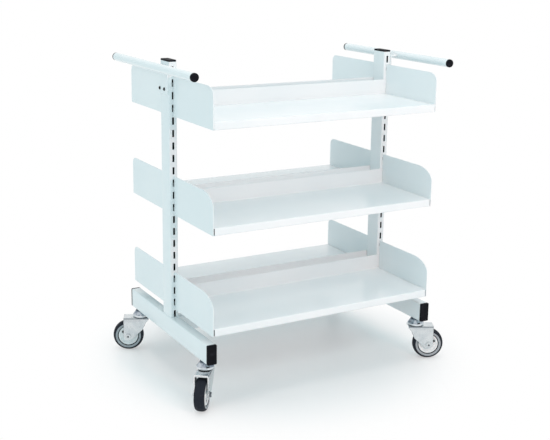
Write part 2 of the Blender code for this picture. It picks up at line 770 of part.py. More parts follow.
def build():
    for side in SIDES:
        add_upright(side)
        add_upright_cap(side)
        add_foot(side)
        add_handle(side)
        add_handle_plate(side)
        for end in ENDS:
            add_foot_cap(side, end)
            add_castor(end, side)
    add_rails()
    for level in LEVEL_SLOTS:
        for end in ENDS:
            add_shelf(level, end)
            for side in SIDES:
                add_bracket(level, end, side)


build()
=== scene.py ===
import math

import bmesh
import bpy
import numpy as np
from mathutils import Matrix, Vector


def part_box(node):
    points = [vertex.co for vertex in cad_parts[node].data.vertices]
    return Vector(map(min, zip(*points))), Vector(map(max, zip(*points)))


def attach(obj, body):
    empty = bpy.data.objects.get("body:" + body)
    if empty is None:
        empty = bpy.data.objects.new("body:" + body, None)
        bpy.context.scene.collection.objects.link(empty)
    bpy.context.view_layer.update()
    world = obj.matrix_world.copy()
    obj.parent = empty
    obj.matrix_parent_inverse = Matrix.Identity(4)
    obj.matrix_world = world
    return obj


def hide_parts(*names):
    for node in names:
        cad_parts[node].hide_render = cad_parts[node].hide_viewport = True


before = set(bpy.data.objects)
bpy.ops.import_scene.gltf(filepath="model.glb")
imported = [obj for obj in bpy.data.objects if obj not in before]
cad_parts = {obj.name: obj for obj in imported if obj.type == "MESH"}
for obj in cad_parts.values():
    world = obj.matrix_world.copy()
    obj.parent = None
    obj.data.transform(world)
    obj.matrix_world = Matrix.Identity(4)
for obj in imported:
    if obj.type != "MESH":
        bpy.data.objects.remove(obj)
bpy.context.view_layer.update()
sideSign = {"left": -1, "right": 1}
endSign = {"front": -1, "back": 1}
seatGap = 0.0003  # between two pieces that touch
mergeDistance = 2e-6  # points of one piece closer than this become one
print("frame loaded:", len(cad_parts), "nodes")


# Surfaces on grids

def gridQuads(rows, cols, wrapRows=False, wrapCols=False):
    # quad (i, j) joins points (i, j), (i+1, j), (i+1, j+1), (i, j+1) of a rows by cols grid
    i, j = np.meshgrid(
        np.arange(rows if wrapRows else rows - 1), np.arange(cols if wrapCols else cols - 1), indexing="ij"
    )
    iNext, jNext = (i + 1) % rows, (j + 1) % cols
    corners = [i * cols + j, iNext * cols + j, iNext * cols + jNext, i * cols + jNext]
    return np.stack(corners, -1).reshape(-1, 4)


def shellQuads(rows, cols):
    # a grid, the same grid behind it, and a rim of quads round the edge that joins the two
    front = gridQuads(rows, cols)
    index = np.arange(rows * cols).reshape(rows, cols)
    rim = np.concatenate([index[0], index[1:, -1], index[-1, -2::-1], index[-2:0:-1, 0]])
    following = np.roll(rim, -1)
    behind = rows * cols
    sides = np.stack([rim, following, following + behind, rim + behind], 1)
    return np.concatenate([front, front[:, ::-1] + behind, sides])


def roundCorners(corners, radius, steps=6, closed=True):
    # each corner becomes an arc: centre - side * radius * normal, with the normal turned evenly
    # from the run that arrives to the run that leaves; the cut-back is radius * tan(turn / 2)
    corners = np.asarray(corners, float)
    radius = np.broadcast_to(np.asarray(radius, float), len(corners))
    arrive = corners - np.roll(corners, 1, 0)
    arrive = arrive / np.maximum(np.linalg.norm(arrive, axis=1, keepdims=True), 1e-12)
    leave = np.roll(arrive, -1, 0)
    turn = np.arctan2(arrive[:, 0] * leave[:, 1] - arrive[:, 1] * leave[:, 0], (arrive * leave).sum(1))
    bend = np.sign(turn) * radius
    left = np.stack([-arrive[:, 1], arrive[:, 0]], 1)
    start = corners - arrive * (radius * np.tan(np.abs(turn) / 2))[:, None]
    centre = start + left * bend[:, None]
    sweep = turn[:, None] * np.linspace(0, 1, steps + 1)
    cosine, sine = np.cos(sweep), np.sin(sweep)
    normals = np.stack(
        [left[:, :1] * cosine - left[:, 1:] * sine, left[:, :1] * sine + left[:, 1:] * cosine], -1
    )
    arcs = centre[:, None] - bend[:, None, None] * normals
    if closed:
        return arcs.reshape(-1, 2), normals.reshape(-1, 2)
    points = np.concatenate([corners[:1], arcs[1:-1].reshape(-1, 2), corners[-1:]])
    return points, np.concatenate([left[1:2], normals[1:-1].reshape(-1, 2), left[-1:]])


def rectangle(width, height, corner, steps=6):
    # rounded rectangle about the origin, anticlockwise
    a, b = width / 2, height / 2
    return roundCorners([(a, -b), (a, b), (-a, b), (-a, -b)], corner, steps)[0]


def unit(angles):
    # (cos a, sin a)
    return np.stack([np.cos(angles), np.sin(angles)], -1)


def fullTurn(steps):
    # evenly spaced angles once round
    return np.linspace(0, 2 * np.pi, steps, endpoint=False)


def circle(radius, steps):
    # radius * (cos a, sin a)
    return radius * unit(fullTurn(steps))


def quarterArc(centre, size, steps):
    # centre + size * (cos a, sin a), with a from 0 to a right angle
    return centre + unit(np.linspace(0, np.pi / 2, steps)) * size


def stackRings(rings, heights, looped=False):
    # ring k of (a, b) points stands at heights[k]; the ends are closed by one face each,
    # or the last ring joins the first
    count = len(rings[0])
    points = np.concatenate(
        [np.column_stack([ring, np.full(count, height)]) for ring, height in zip(rings, heights)]
    )
    faces = [gridQuads(len(rings), count, wrapRows=looped, wrapCols=True)]
    if not looped:
        first = np.arange(count)[None]
        faces += [first[:, ::-1], first + (len(rings) - 1) * count]
    return points, faces


def turnProfile(profile, steps, closed=False):
    # profile point (radius, along) goes round the axis: (radius cos a, radius sin a, along)
    profile = np.asarray(profile, float)
    angles = fullTurn(steps)
    radius, along = profile[:, :1], np.repeat(profile[:, 1:], steps, 1)
    points = np.stack([radius * np.cos(angles), radius * np.sin(angles), along], -1).reshape(-1, 3)
    return points, [gridQuads(len(profile), steps, wrapRows=closed, wrapCols=True)]


def sweepBead(path, outward, radius, steps, ripple, waves):
    # bead along a closed flat path: path + r (cos b outward + sin b up), r = radius (1 + ripple sin(waves s))
    size = (radius * (1 + ripple * np.sin(waves * fullTurn(len(path)))))[:, None]
    angles = fullTurn(steps)
    flat = path[:, None] + outward[:, None] * (size * np.cos(angles))[..., None]
    points = np.concatenate([flat, (size * np.sin(angles))[..., None]], -1).reshape(-1, 3)
    return points, [gridQuads(len(path), steps, wrapRows=True, wrapCols=True)]


def evenLoop(path, count):
    # points at equal distances round a closed path, with the outward normal at each
    closed = np.concatenate([path, path[:1]])
    length = np.concatenate([[0], np.cumsum(np.linalg.norm(np.diff(closed, axis=0), axis=1))])
    at = np.linspace(0, length[-1], count, endpoint=False)
    points = np.stack([np.interp(at, length, closed[:, 0]), np.interp(at, length, closed[:, 1])], 1)
    along = np.roll(points, -1, 0) - np.roll(points, 1, 0)
    along = along / np.linalg.norm(along, axis=1, keepdims=True)
    return points, np.stack([along[:, 1], -along[:, 0]], 1)


def foldedSheet(path, normal, sheet, low, high):
    # strip of points (t, a, b) with t = low or high and (a, b) on the path,
    # and a second one at path - sheet * normal
    ends = np.stack([np.broadcast_to(edge, len(path)) for edge in (low, high)], 1)[..., None]
    layers = [
        np.concatenate([ends, np.repeat(line[:, None], 2, 1)], -1).reshape(-1, 3)
        for line in (path, path - normal * sheet)
    ]
    return np.concatenate(layers), [shellQuads(len(path), 2)]


def alongX(part):
    # (a, b, t) becomes (t, a, b)
    return part[0][:, [2, 0, 1]], part[1]


def alongY(part):
    # (a, b, t) becomes (a, t, b)
    return part[0][:, [0, 2, 1]], part[1]


def scaled(part, factors, offset=(0, 0, 0)):
    # points * factors + offset; a factor of -1 mirrors
    return part[0] * factors + offset, part[1]


def moved(part, offset, heading=0.0):
    # turned about the vertical by heading, then moved: (u cos h - v sin h, u sin h + v cos h, z) + offset
    cosine, sine = math.cos(heading), math.sin(heading)
    turn = np.array([[cosine, sine, 0], [-sine, cosine, 0], [0, 0, 1]])
    return part[0] @ turn + np.asarray(offset, float), part[1]


def facesInward(mesh):
    # true where the sum of area * normal . (centre - middle) over the faces is below zero
    count = len(mesh.polygons)
    normal, centre, area = np.empty(3 * count), np.empty(3 * count), np.empty(count)
    mesh.polygons.foreach_get("normal", normal)
    mesh.polygons.foreach_get("center", centre)
    mesh.polygons.foreach_get("area", area)
    centre = centre.reshape(-1, 3)
    return float((area[:, None] * normal.reshape(-1, 3) * (centre - centre.mean(0))).sum()) < 0


def addToScene(name, data):
    # an object for the data, linked at the origin
    item = bpy.data.objects.new(name, data)
    bpy.context.scene.collection.objects.link(item)
    return item


def makePiece(name, parts, finish, body="trolley", nodes=(), wall=0.0, bevel=0.0, sharpAngle=38.0,
              marks=None, lining=None):
    # stacks the parts, each one's faces numbered on from the points before it, and finishes the mesh
    starts = np.cumsum([0] + [len(points) for points, groups in parts[:-1]])
    points = np.concatenate([points for points, groups in parts])
    faces = [
        face for start, (held, groups) in zip(starts, parts)
        for group in groups for face in (group + start).tolist()
    ]
    mesh = bpy.data.meshes.new(name)
    mesh.from_pydata(points.tolist(), [], faces)
    for key, values in (marks or {}).items():
        held = mesh.attributes.new(key, "FLOAT", "POINT").data
        held.foreach_set("value", np.asarray(values, np.float32))
    work = bmesh.new()
    work.from_mesh(mesh)
    bmesh.ops.remove_doubles(work, verts=work.verts, dist=mergeDistance)
    bmesh.ops.recalc_face_normals(work, faces=work.faces)
    work.to_mesh(mesh)
    work.free()
    if wall and facesInward(mesh):
        mesh.flip_normals()
    mesh.shade_smooth()
    if not bevel:
        mesh.set_sharp_from_angle(angle=math.radians(sharpAngle))
    piece = addToScene(name, mesh)
    mesh.materials.append(finish)
    if wall:
        solidify = piece.modifiers.new("wall", "SOLIDIFY")
        solidify.thickness = wall
        solidify.offset = -1
        solidify.use_even_offset = True
        mesh.materials.append(lining)
        solidify.material_offset = 1
    if bevel:
        rounding = piece.modifiers.new("edges", "BEVEL")
        rounding.width = bevel
        rounding.segments = 2
        rounding.limit_method = "ANGLE"
        rounding.angle_limit = math.radians(sharpAngle)
        rounding.use_clamp_overlap = False
        rounding.harden_normals = True
    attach(piece, body)
    if nodes:
        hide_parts(*nodes)


def boxOf(node):
    # lowest corner, highest corner, middle and size of a CAD node
    low, high = (np.array(corner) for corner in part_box(node))
    return low, high, (low + high) / 2, high - low


# Shader maths

class Wire:
    # a socket of a material; operators on it add Math nodes
    def __init__(self, tree, socket=None):
        self.tree, self.socket = tree, socket

    def fill(self, node, sockets):
        # values or links on a node's own sockets
        for key, value in sockets.items():
            if isinstance(value, Wire):
                self.tree.links.new(value.socket, node.inputs[key])
            else:
                node.inputs[key].default_value = value

    def add(self, kind, settings=None, sockets=None, out=0):
        # one node of any kind: settings first, then values or links
        node = self.tree.nodes.new(kind)
        for key, value in (settings or {}).items():
            setattr(node, key, value)
        self.fill(node, sockets or {})
        return Wire(self.tree, node.outputs[out])

    def maths(self, operation, first, second=0.0):
        # one Math node
        return self.add("ShaderNodeMath", {"operation": operation}, {0: first, 1: second})

    def __add__(self, other):
        return self.maths("ADD", self, other)

    def __sub__(self, other):
        return self.maths("SUBTRACT", self, other)

    def __rsub__(self, other):
        return self.maths("SUBTRACT", other, self)

    def __mul__(self, other):
        return self.maths("MULTIPLY", self, other)

    __radd__ = __add__
    __rmul__ = __mul__

    def most(self, other):
        return self.maths("MAXIMUM", self, other)

    def sine(self):
        return self.maths("SINE", self)

    def step(self, low, high):
        # smooth step from 0 at low to 1 at high
        limits = {"Value": self, "From Min": low, "From Max": high}
        return self.add("ShaderNodeMapRange", {"interpolation_type": "SMOOTHSTEP"}, limits)

    def blend(self, first, second):
        # colour that goes from first to second as this value goes from 0 to 1
        return self.add("ShaderNodeMix", {"data_type": "RGBA"}, {0: self, 6: first, 7: second}, out=2)

    def noise(self, scale, detail=2.0, roughness=0.5):
        values = {"Vector": self, "Scale": scale, "Detail": detail, "Roughness": roughness}
        return self.add("ShaderNodeTexNoise", None, values)

    def stretched(self, scale):
        return self.add("ShaderNodeMapping", None, {"Vector": self, "Scale": scale})

    def bump(self, strength, distance):
        return self.add("ShaderNodeBump", None, {"Height": self, "Strength": strength, "Distance": distance})

    def mark(self, name):
        # a number kept on the mesh's points
        return self.add("ShaderNodeAttribute", {"attribute_name": name}, out=2)

    def axis(self, number):
        return self.add("ShaderNodeSeparateXYZ", None, {"Vector": self}, out=number)

    def seen(self):
        # 1 for camera, glossy and transmission rays, 0 for the rays that light the object
        camera = self.add("ShaderNodeLightPath", out="Is Camera Ray")
        rays = camera.socket.node.outputs
        glossy, through = (Wire(self.tree, rays[key]) for key in ("Is Glossy Ray", "Is Transmission Ray"))
        return camera.most(glossy).most(through)


def makeFinish(name, slotName, recipe, *values):
    # a material whose shader takes the sockets that the recipe works out from Object coordinates
    material = bpy.data.materials.new(name)
    material.use_nodes = True
    tree = material.node_tree
    place = Wire(tree).add("ShaderNodeTexCoord", out="Object")
    place.fill(tree.nodes["Principled BSDF"], recipe(place, *values))
    return material


def colour(red, green, blue):
    # opaque, in linear light
    return (red, green, blue, 1.0)


paint = {
    "pale": colour(0.845, 0.894, 0.908),
    "cool": colour(0.815, 0.876, 0.894),
    "scuff": colour(0.600, 0.640, 0.655),
    "gloss": 0.12,
    "cloudScale": 4.5,
    "peelScale": 420.0,  # orange peel, about 2.4 mm from crest to crest
    "rubScale": (70, 12, 70),
    "rubHeight": (0.12, 0.19),  # rub marks fade out over these heights
    "rubStrength": 0.22,
}


def powderCoat(place):
    # slow cloudy tone, orange peel in the bump, and a few faint rub marks near the floor
    cloud = place.noise(paint["cloudScale"]).step(0.35, 0.68)
    low = 1 - place.axis(2).step(*paint["rubHeight"])
    rubs = place.stretched(paint["rubScale"]).noise(1.0, 3.0, 0.6).step(0.60, 0.78)
    rub = rubs * low * paint["rubStrength"]
    return {
        "Base Color": rub.blend(cloud.blend(paint["pale"], paint["cool"]), paint["scuff"]),
        "Roughness": paint["gloss"] + place.noise(38.0, 3.0) * 0.08 + rub * 0.4,
        "Coat Weight": 0.10,
        "Coat Roughness": 0.10,
        "Normal": place.noise(paint["peelScale"], 1.0).bump(0.035, 0.0002),
    }


mottles = {
    # scale of the noise, limits of its step, the two tones, roughness and its spread, other sockets
    # inside the upright tubes: bare steel darkened to near black, painted shade that makes the slots read
    # black
    "inside": (60.0, (0.3, 0.7), (colour(0.004, 0.004, 0.005), colour(0.010, 0.010, 0.012)), 0.78, 0.2,
               {"Specular IOR Level": 0.10}),
    "race": (180.0, (0.35, 0.7), (colour(0.120, 0.125, 0.132), colour(0.300, 0.305, 0.310)), 0.28, 0.3,
             {"Metallic": 0.85}),
    "screw": (420.0, (0.55, 0.8), (colour(0.010, 0.010, 0.012), colour(0.060, 0.061, 0.064)), 0.32, 0.25,
              {"Metallic": 0.35}),
}


def mottled(place, kind):
    # one noise gives the tone and the roughness: painted shade on the bare steel inside the upright tubes,
    # greased race, blackened screws
    scale, limits, tones, rough, spread, others = mottles[kind]
    cloud = place.noise(scale, 3.0)
    return {"Base Color": cloud.step(*limits).blend(*tones), "Roughness": rough + cloud * spread, **others}


plastic = {
    "deep": colour(0.0060, 0.0064, 0.0092),
    "worn": colour(0.0150, 0.0160, 0.0215),
    "grainScale": 900.0,
}


def mouldedPlastic(place):
    # black plastic with a fine moulded grain, a little greyer in patches
    patch = place.noise(55.0, 3.0, 0.6)
    return {
        "Base Color": patch.step(0.45, 0.75).blend(plastic["deep"], plastic["worn"]),
        "Roughness": 0.44 + patch * 0.22,
        "Specular IOR Level": 0.08,
        "Normal": place.noise(plastic["grainScale"]).bump(0.10, 0.00012),
    }


zinc = {
    "fork": (colour(0.560, 0.610, 0.640), colour(0.700, 0.738, 0.752)),
    # on a fork: painted shade on the outside of its bend, and a painted highlight on the edges of its sheet
    "bendShade": colour(0.230, 0.262, 0.290),
    "edgeHighlight": colour(0.930, 0.945, 0.950),
    # castor head: painted bright reflection on the skirt, cloudy blue zinc on the cone, painted shade and
    # dark reflection close under the foot
    "skirt": colour(0.700, 0.750, 0.780),
    "dome": (colour(0.160, 0.205, 0.265), colour(0.520, 0.570, 0.620)),
    "shadeUnderFoot": colour(0.060, 0.085, 0.115),
    "nut": (colour(0.060, 0.068, 0.080), colour(0.180, 0.195, 0.215)),
    "cloudScale": 55.0,
    "drawnScale": (420.0, 420.0, 60.0),
    "forkGloss": (0.16, 0.14, 0.06),  # least roughness, and what the cloud and the drawing lines add to it
    "domeGloss": (0.07, 0.08, 0.04),
}


def platedSteel(place, tones, limits, gloss):
    # slow cloud and faint drawing lines set the tone, the roughness and the bump
    cloud = place.noise(zinc["cloudScale"], 3.0)
    drawn = place.stretched(zinc["drawnScale"]).noise(1.0)
    least, cloudPart, drawnPart = gloss
    return cloud, {
        "Base Color": (cloud * 0.8 + drawn * 0.2).step(*limits).blend(*tones),
        "Metallic": 1.0,
        "Roughness": least + cloud * cloudPart + drawn * drawnPart,
        "Normal": (drawn * 0.6 + cloud).bump(0.04, 0.0002),
    }


def brightZinc(place, tones, withPaintedLight=False):
    # cloudy blue to silver; a fork gets painted shade on the outside of its bend and a painted highlight on
    # the edges of its sheet
    sockets = platedSteel(place, tones, (0.22, 0.66), zinc["forkGloss"])[1]
    for key in ("bendShade", "edgeHighlight") if withPaintedLight else ():
        sockets["Base Color"] = place.mark(key).blend(sockets["Base Color"], zinc[key])
    return sockets


def domePlate(place):
    # castor head: painted shade and dark reflection close under the foot, blue and cloudy on the cone, its
    # darker tone partly painted dark reflection, and a painted bright reflection on the skirt
    rise = place.mark("rise")
    cloud, sockets = platedSteel(place, zinc["dome"], (0.34, 0.60), zinc["domeGloss"])
    cone = rise.step(0.20, 0.34).blend(zinc["skirt"], sockets["Base Color"])
    sockets["Base Color"] = (rise + cloud * 0.2).step(0.78, 1.04).blend(cone, zinc["shadeUnderFoot"])
    return sockets


rubber = {
    "tread": colour(0.0150, 0.0185, 0.0265),
    "sidewall": colour(0.400, 0.432, 0.455),
    "sideShade": colour(0.330, 0.360, 0.388),
    "dust": colour(0.060, 0.063, 0.068),
    "shoulderRadius": (0.0408, 0.0420),  # the sidewall's grey ends here
    "grooveShadeRadius": (0.0344, 0.0352),  # painted shade in the bead groove beside the hub, as a dark line
    "ridgePitch": 0.00145,
    "grainScale": 900.0,
}


def greyRubber(place):
    # dark tread and mid-grey sidewall told apart by the distance from the axle, painted shade in the bead
    # groove beside the hub, and fine moulded rings
    fromAxle = place.mark("fromAxle")
    tread = fromAxle.step(*rubber["shoulderRadius"])
    # dark: the tread, and the painted shade in the groove beside the hub
    dark = tread.most(1 - fromAxle.step(*rubber["grooveShadeRadius"]))
    mottle = place.noise(130.0, 4.0, 0.6)
    dust = mottle.step(0.52, 0.78) * tread * 0.35
    side = (mottle * 0.6).blend(rubber["sidewall"], rubber["sideShade"])
    rings = (fromAxle * (2 * math.pi / rubber["ridgePitch"])).sine() * (1 - dark)
    return {
        "Base Color": dust.blend(dark.blend(side, rubber["tread"]), rubber["dust"]),
        "Roughness": 0.52 + mottle * 0.25,
        "Specular IOR Level": 0.15,
        "Normal": (rings * 0.4 + place.noise(rubber["grainScale"])).bump(0.16, 0.00020),
    }


hubTone = {
    "pale": colour(0.870, 0.895, 0.900),
    "shade": colour(0.790, 0.822, 0.834),
    # painted shade on the wall of the hole through the web
    "hole": colour(0.090, 0.096, 0.102),
    "grainScale": 1300.0,
}


def greyHub(place):
    # moulded grey plastic, flow marks round the boss, a matt grain, and painted shade on the wall of the hole
    flow = place.noise(85.0, 3.0, 0.6)
    face = flow.step(0.34, 0.70).blend(hubTone["pale"], hubTone["shade"])
    return {
        "Base Color": place.mark("holeShadeMask").blend(face, hubTone["hole"]),
        "Roughness": 0.36 + flow * 0.2,
        "Normal": place.noise(hubTone["grainScale"]).bump(0.12, 0.00015),
    }


whitePaint = makeFinish("whitePowderCoat", "white_powder_coat", powderCoat)
# lining of the upright tubes: bare steel with painted shade, near black
tubeInsideShade = makeFinish("bareTubeInsidePaintedShade", "white_powder_coat", mottled, "inside")
blackPlastic = makeFinish("blackMouldedPlastic", "black_plastic", mouldedPlastic)
zincPlate = makeFinish("brightZincPlate", "zinc_plate", brightZinc, zinc["fork"])
forkZinc = makeFinish("forkZincPaintedShadeAndHighlight", "zinc_plate", brightZinc, zinc["fork"], True)
domeZinc = makeFinish("blueZincDomePaintedReflections", "zinc_plate", domePlate)
nutSteel = makeFinish("darkNutSteel", "zinc_plate", brightZinc, zinc["nut"])
raceSteel = makeFinish("greasedRaceSteel", "zinc_plate", mottled, "race")
screwSteel = makeFinish("blackenedScrewSteel", "zinc_plate", mottled, "screw")
tyreRubber = makeFinish("greyTyreRubber", "dark_grey_rubber", greyRubber)
hubPlastic = makeFinish("greyHubPlastic", "grey_hub_plastic", greyHub)
print("finishes made")


# Uprights: rolled tube with a column of slots through front and back

upright = {
    "corner": 0.0025,
    "wall": 0.002,
    "slotWidth": 0.0065,
    "slotLength": 0.022,
    "slotCorner": 0.0016,
    "slotSteps": 4,
    "slotPitch": 0.0375,
    "slotCount": 21,
    "firstSlot": 0.0125,
    "edge": 0.0003,
    "bead": (0.0021, 10, 0.09, 46),  # radius, sides, ripple and waves of the weld at the foot
    "beadPoints": 180,
}


def slottedFace(half, zEdges, zSlots):
    # one cell per slot: each arc point of the slot is joined to its partner on the cell's rectangle,
    # which runs from the foot of the arc's start to the cell's corner and on to the foot of its end
    steps, number = upright["slotSteps"], len(zSlots)
    signs = np.array([(1, -1), (1, 1), (-1, 1), (-1, -1)], float)
    slotHalf = (upright["slotWidth"] / 2, upright["slotLength"] / 2)
    arcs = roundCorners(signs * slotHalf, upright["slotCorner"], steps)[0].reshape(4, steps + 1, 2)
    low, high = zEdges[:-1] - zSlots, zEdges[1:] - zSlots
    outer = np.zeros((number, 4, 2))
    outer[:, :, 0] = signs[:, 0] * half
    outer[:, :, 1] = np.where(signs[:, 1] < 0, low[:, None], high[:, None])
    fromCell = np.array([(False, True), (True, False)] * 2)  # what a start takes from the cell's corner
    begin = np.where(fromCell, outer, arcs[:, 0])[:, :, None]
    end = np.where(fromCell, arcs[:, -1], outer)[:, :, None]
    corner, share = outer[:, :, None], np.linspace(0, 1, steps + 1)[None, :, None]
    arriving, leaving = begin + (corner - begin) * 2 * share, corner + (end - corner) * (2 * share - 1)
    rim = np.where(share < 0.5, arriving, leaving)
    count = 4 * (steps + 1)
    slot = np.broadcast_to(arcs.reshape(1, count, 2), (number, count, 2))
    cells = np.stack([slot, rim.reshape(-1, count, 2)], 1)
    cells = cells + np.stack([np.zeros(number), zSlots], 1)[:, None, None]
    quads = gridQuads(2, count, wrapCols=True)[None] + (np.arange(number) * 2 * count)[:, None, None]
    return cells.reshape(-1, 2), quads.reshape(-1, 4)


def makeUpright(side):
    # two slotted faces, and the rounded sides between them carried up the same heights
    node = "upright_" + side
    low, high, middle, size = boxOf(node)
    a, b = size[:2] / 2
    zSlots = low[2] - seatGap + upright["firstSlot"] + upright["slotPitch"] * np.arange(upright["slotCount"])
    zEdges = np.concatenate([[low[2]], (zSlots[1:] + zSlots[:-1]) / 2, [high[2]]])
    corner = upright["corner"]
    half = a - corner
    flat, quads = slottedFace(half, zEdges, zSlots)
    parts = [(np.insert(flat, 1, y, 1), [quads]) for y in (-b, b)]
    onEdge = np.abs(flat[:, 0] - half) < mergeDistance
    heights = np.unique(np.round(flat[onEdge, 1], 7))
    turned = [(half, -b), (a, -b), (a, b), (half, b)]
    path = roundCorners(turned, [0, corner, corner, 0], 5, closed=False)[0]
    for mirror in (1, -1):
        points = stackRings([path * (mirror, 1)] * len(heights), heights)[0]
        parts.append((points, [gridQuads(len(heights), len(path))]))
    makePiece("uprightTube." + side, [moved(part, (*middle[:2], 0)) for part in parts], whitePaint,
              nodes=[node], wall=upright["wall"], bevel=upright["edge"], lining=tubeInsideShade)
    # fillet weld round the foot of the tube, with its ripples
    loop = evenLoop(rectangle(size[0], size[1], corner, 8), upright["beadPoints"])
    bead = sweepBead(*loop, *upright["bead"])
    makePiece("footWeld." + side, [moved(bead, (*middle[:2], low[2]))], whitePaint)


# Feet, rails and their black caps

boxTube = {"corner": 0.003, "wall": 0.002, "steps": 5}
lid = {
    "edge": 0.0011,
    "corner": 0.0030,
    "plugInset": 0.0024,
    "plugCorner": 0.0012,
    "plugLength": 0.006,
    "dish": 0.0004,
    "footSeat": 0.2815,  # inner side of a foot lid's flange from the middle of the foot
    "uprightFlange": 0.005,
}


def boxTubeShell(width, height, half):
    # rounded rectangle carried from -half to half, turned back along its inside
    corner, wall, steps = boxTube["corner"], boxTube["wall"], boxTube["steps"]
    outer = rectangle(width, height, corner, steps)
    inner = rectangle(width - 2 * wall, height - 2 * wall, corner - wall, steps)
    return stackRings([outer, outer, inner, inner], [-half, half, half, -half], looped=True)


def lidShell(width, height, flange):
    # plug, flange and a rolled edge, then a slightly dished face: rounded rectangles at rising heights
    edge, corner, plug = lid["edge"], lid["corner"], (lid["plugInset"], lid["plugCorner"])
    rows = [(*plug, -lid["plugLength"]), (*plug, 0.0), (0.0, corner, 0.0)]  # inset, corner, height
    for across, up in quarterArc((0, flange - edge), (edge, edge), 4):
        rows.append((edge - across, corner - edge + across, up))
    rows.append((3 * edge, corner / 2, flange - lid["dish"]))
    rings = [rectangle(width - 2 * inset, height - 2 * inset, bend) for inset, bend, up in rows]
    return stackRings(rings, [row[2] for row in rows])


def makeFoot(side):
    # tube along the depth, with a lid over each end
    middle, size = boxOf("foot_beam_" + side)[2:]
    seat = lid["footSeat"]
    tube = boxTubeShell(size[0], size[2], seat - seatGap)
    makePiece("footTube." + side, [moved(alongY(tube), middle)], whitePaint, nodes=["foot_beam_" + side])
    for end, out in endSign.items():
        node = "foot_cap_" + side + "_" + end
        face = np.abs(boxOf(node)[:2])[:, 1].max()
        cap = scaled(lidShell(size[0], size[2], face - seat), (1, 1, out), (0, 0, out * seat))
        makePiece("footLid." + side + "." + end, [moved(alongY(cap), (middle[0], 0, middle[2]))],
                  blackPlastic, nodes=[node])


def makeUprightLid(side):
    # lid whose flange lies on the top of the tube
    node = "upright_cap_" + side
    high, middle, size = boxOf(node)[1:]
    cap = lidShell(size[0], size[1], lid["uprightFlange"])
    place = (*middle[:2], high[2] - lid["uprightFlange"])
    makePiece("uprightLid." + side, [moved(cap, place)], blackPlastic, nodes=[node])


def makeRail(level):
    # tube along the shelves between the end frames
    node = "cross_rail_" + level
    middle, size = boxOf(node)[2:]
    tube = boxTubeShell(size[1], size[2], size[0] / 2)
    makePiece("rail." + level, [moved(alongX(tube), middle)], whitePaint, nodes=[node])


# Push handles

handle = {
    "wall": 0.0015,
    "sides": 64,
    "plugDome": 0.0060,
    "plugRim": 0.0045,
    "plugSeat": 0.0030,  # the tube stops this far short of the plug's CAD seat
    "plugShank": 0.012,
    "plugPlay": 0.0004,
    "plateThickness": 0.005,
    "plateBend": 0.008,
    "plateFootCorner": 0.0008,
    "plateTipCorner": 0.0004,
    "plateEdge": 0.0006,
    "bead": (0.0022, 10, 0.08, 150),  # radius, sides, ripple and waves of the weld
    "beadSteps": 60,
    "beadInset": 0.0008,
    "screwAlong": (-0.009, 0.023),  # left plate; the right one is turned half round
    "screwDrop": 0.0676,
}
screw = {"radius": 0.0050, "height": 0.0030, "rim": 0.35, "socket": 0.0024, "socketDepth": 0.0022,
         "sunk": 0.0001}  # rim is a share of the height


def screwHead():
    # button head with a flat-bottomed socket: arc from rim to top, then down into the socket
    radius, height, socket = screw["radius"], screw["height"], screw["socket"]
    rim, floor = height * screw["rim"], height - screw["socketDepth"]
    top = quarterArc((socket, rim), (radius - socket, height - rim), 8)
    return turnProfile(np.concatenate([[(0, 0), (radius, 0)], top, [(socket, floor), (0, floor)]]), 32)


def makeHandle(side):
    # round tube turned back along its inside, and a domed plug in each end
    middle, size = boxOf("handle_tube_" + side)[2:]
    outer, half = size[2] / 2, size[1] / 2 - handle["plugSeat"]
    inner = outer - handle["wall"]
    rings = [circle(radius, handle["sides"]) for radius in (outer, outer, inner, inner)]
    tube = stackRings(rings, [-half, half, half, -half], looped=True)
    makePiece("pushTube." + side, [moved(alongY(tube), middle)], whitePaint, nodes=["handle_tube_" + side])
    shank, bore = -handle["plugShank"], inner - handle["plugPlay"]
    crown = quarterArc((0, handle["plugRim"]), (outer, handle["plugDome"]), 12)
    profile = np.concatenate([[(0, shank), (bore, shank), (bore, 0), (outer, 0)], crown])
    for end, out in endSign.items():
        plug = scaled(turnProfile(profile, handle["sides"]), (1, 1, out), (0, 0, out * (half + seatGap)))
        makePiece("pushPlug." + side + "." + end, [moved(alongY(plug), middle)], blackPlastic,
                  nodes=["handle_plug_" + side + "_" + end])


def makeHandlePlate(side):
    # bent strip: section in (outwards, up) carried along the depth of the upright
    node = "handle_plate_" + side
    low, high = boxOf(node)[:2]
    sign, thick, bend, top = sideSign[side], handle["plateThickness"], handle["plateBend"], high[2]
    inside, tip = np.sort(np.abs([low[0], high[0]]))
    outside, under = inside + thick, top - thick
    footCorner, tipCorner = handle["plateFootCorner"], handle["plateTipCorner"]
    section = roundCorners(
        [(inside, low[2]), (outside, low[2]), (outside, under), (tip, under), (tip, top), (inside, top)],
        [footCorner, footCorner, bend - thick, tipCorner, tipCorner, bend], 8,
    )[0]
    strip = stackRings([section * (sign, 1)] * 2, [low[1], high[1]])
    makePiece("handlePlate." + side, [alongY(strip)], whitePaint, nodes=[node], bevel=handle["plateEdge"])
    # weld along the tube, over and under the plate's edge: its radius tapers at the ends and ripples
    radius, sides, ripple, waves = handle["bead"]
    share = np.linspace(0, 1, handle["beadSteps"])
    taper = np.sqrt(np.clip(1 - (2 * share - 1) ** 8, 0, 1))
    swell = radius * taper * (1 + ripple * np.sin(waves * share))
    rings = [circle(1.0, sides) * size for size in swell]
    bead = alongY(stackRings(rings, low[1] + (high[1] - low[1]) * share))
    beads = [moved(bead, (sign * (tip - handle["beadInset"]), 0, height)) for height in (top, under)]
    makePiece("handleWeld." + side, beads, whitePaint)
    head = scaled(alongX(screwHead()), (sign, 1, 1))
    out, up = sign * (outside - screw["sunk"]), top - thick / 2 - handle["screwDrop"]
    heads = [moved(head, (out, -sign * along, up)) for along in handle["screwAlong"]]
    makePiece("handleScrews." + side, heads, screwSteel)


# Shelves and brackets

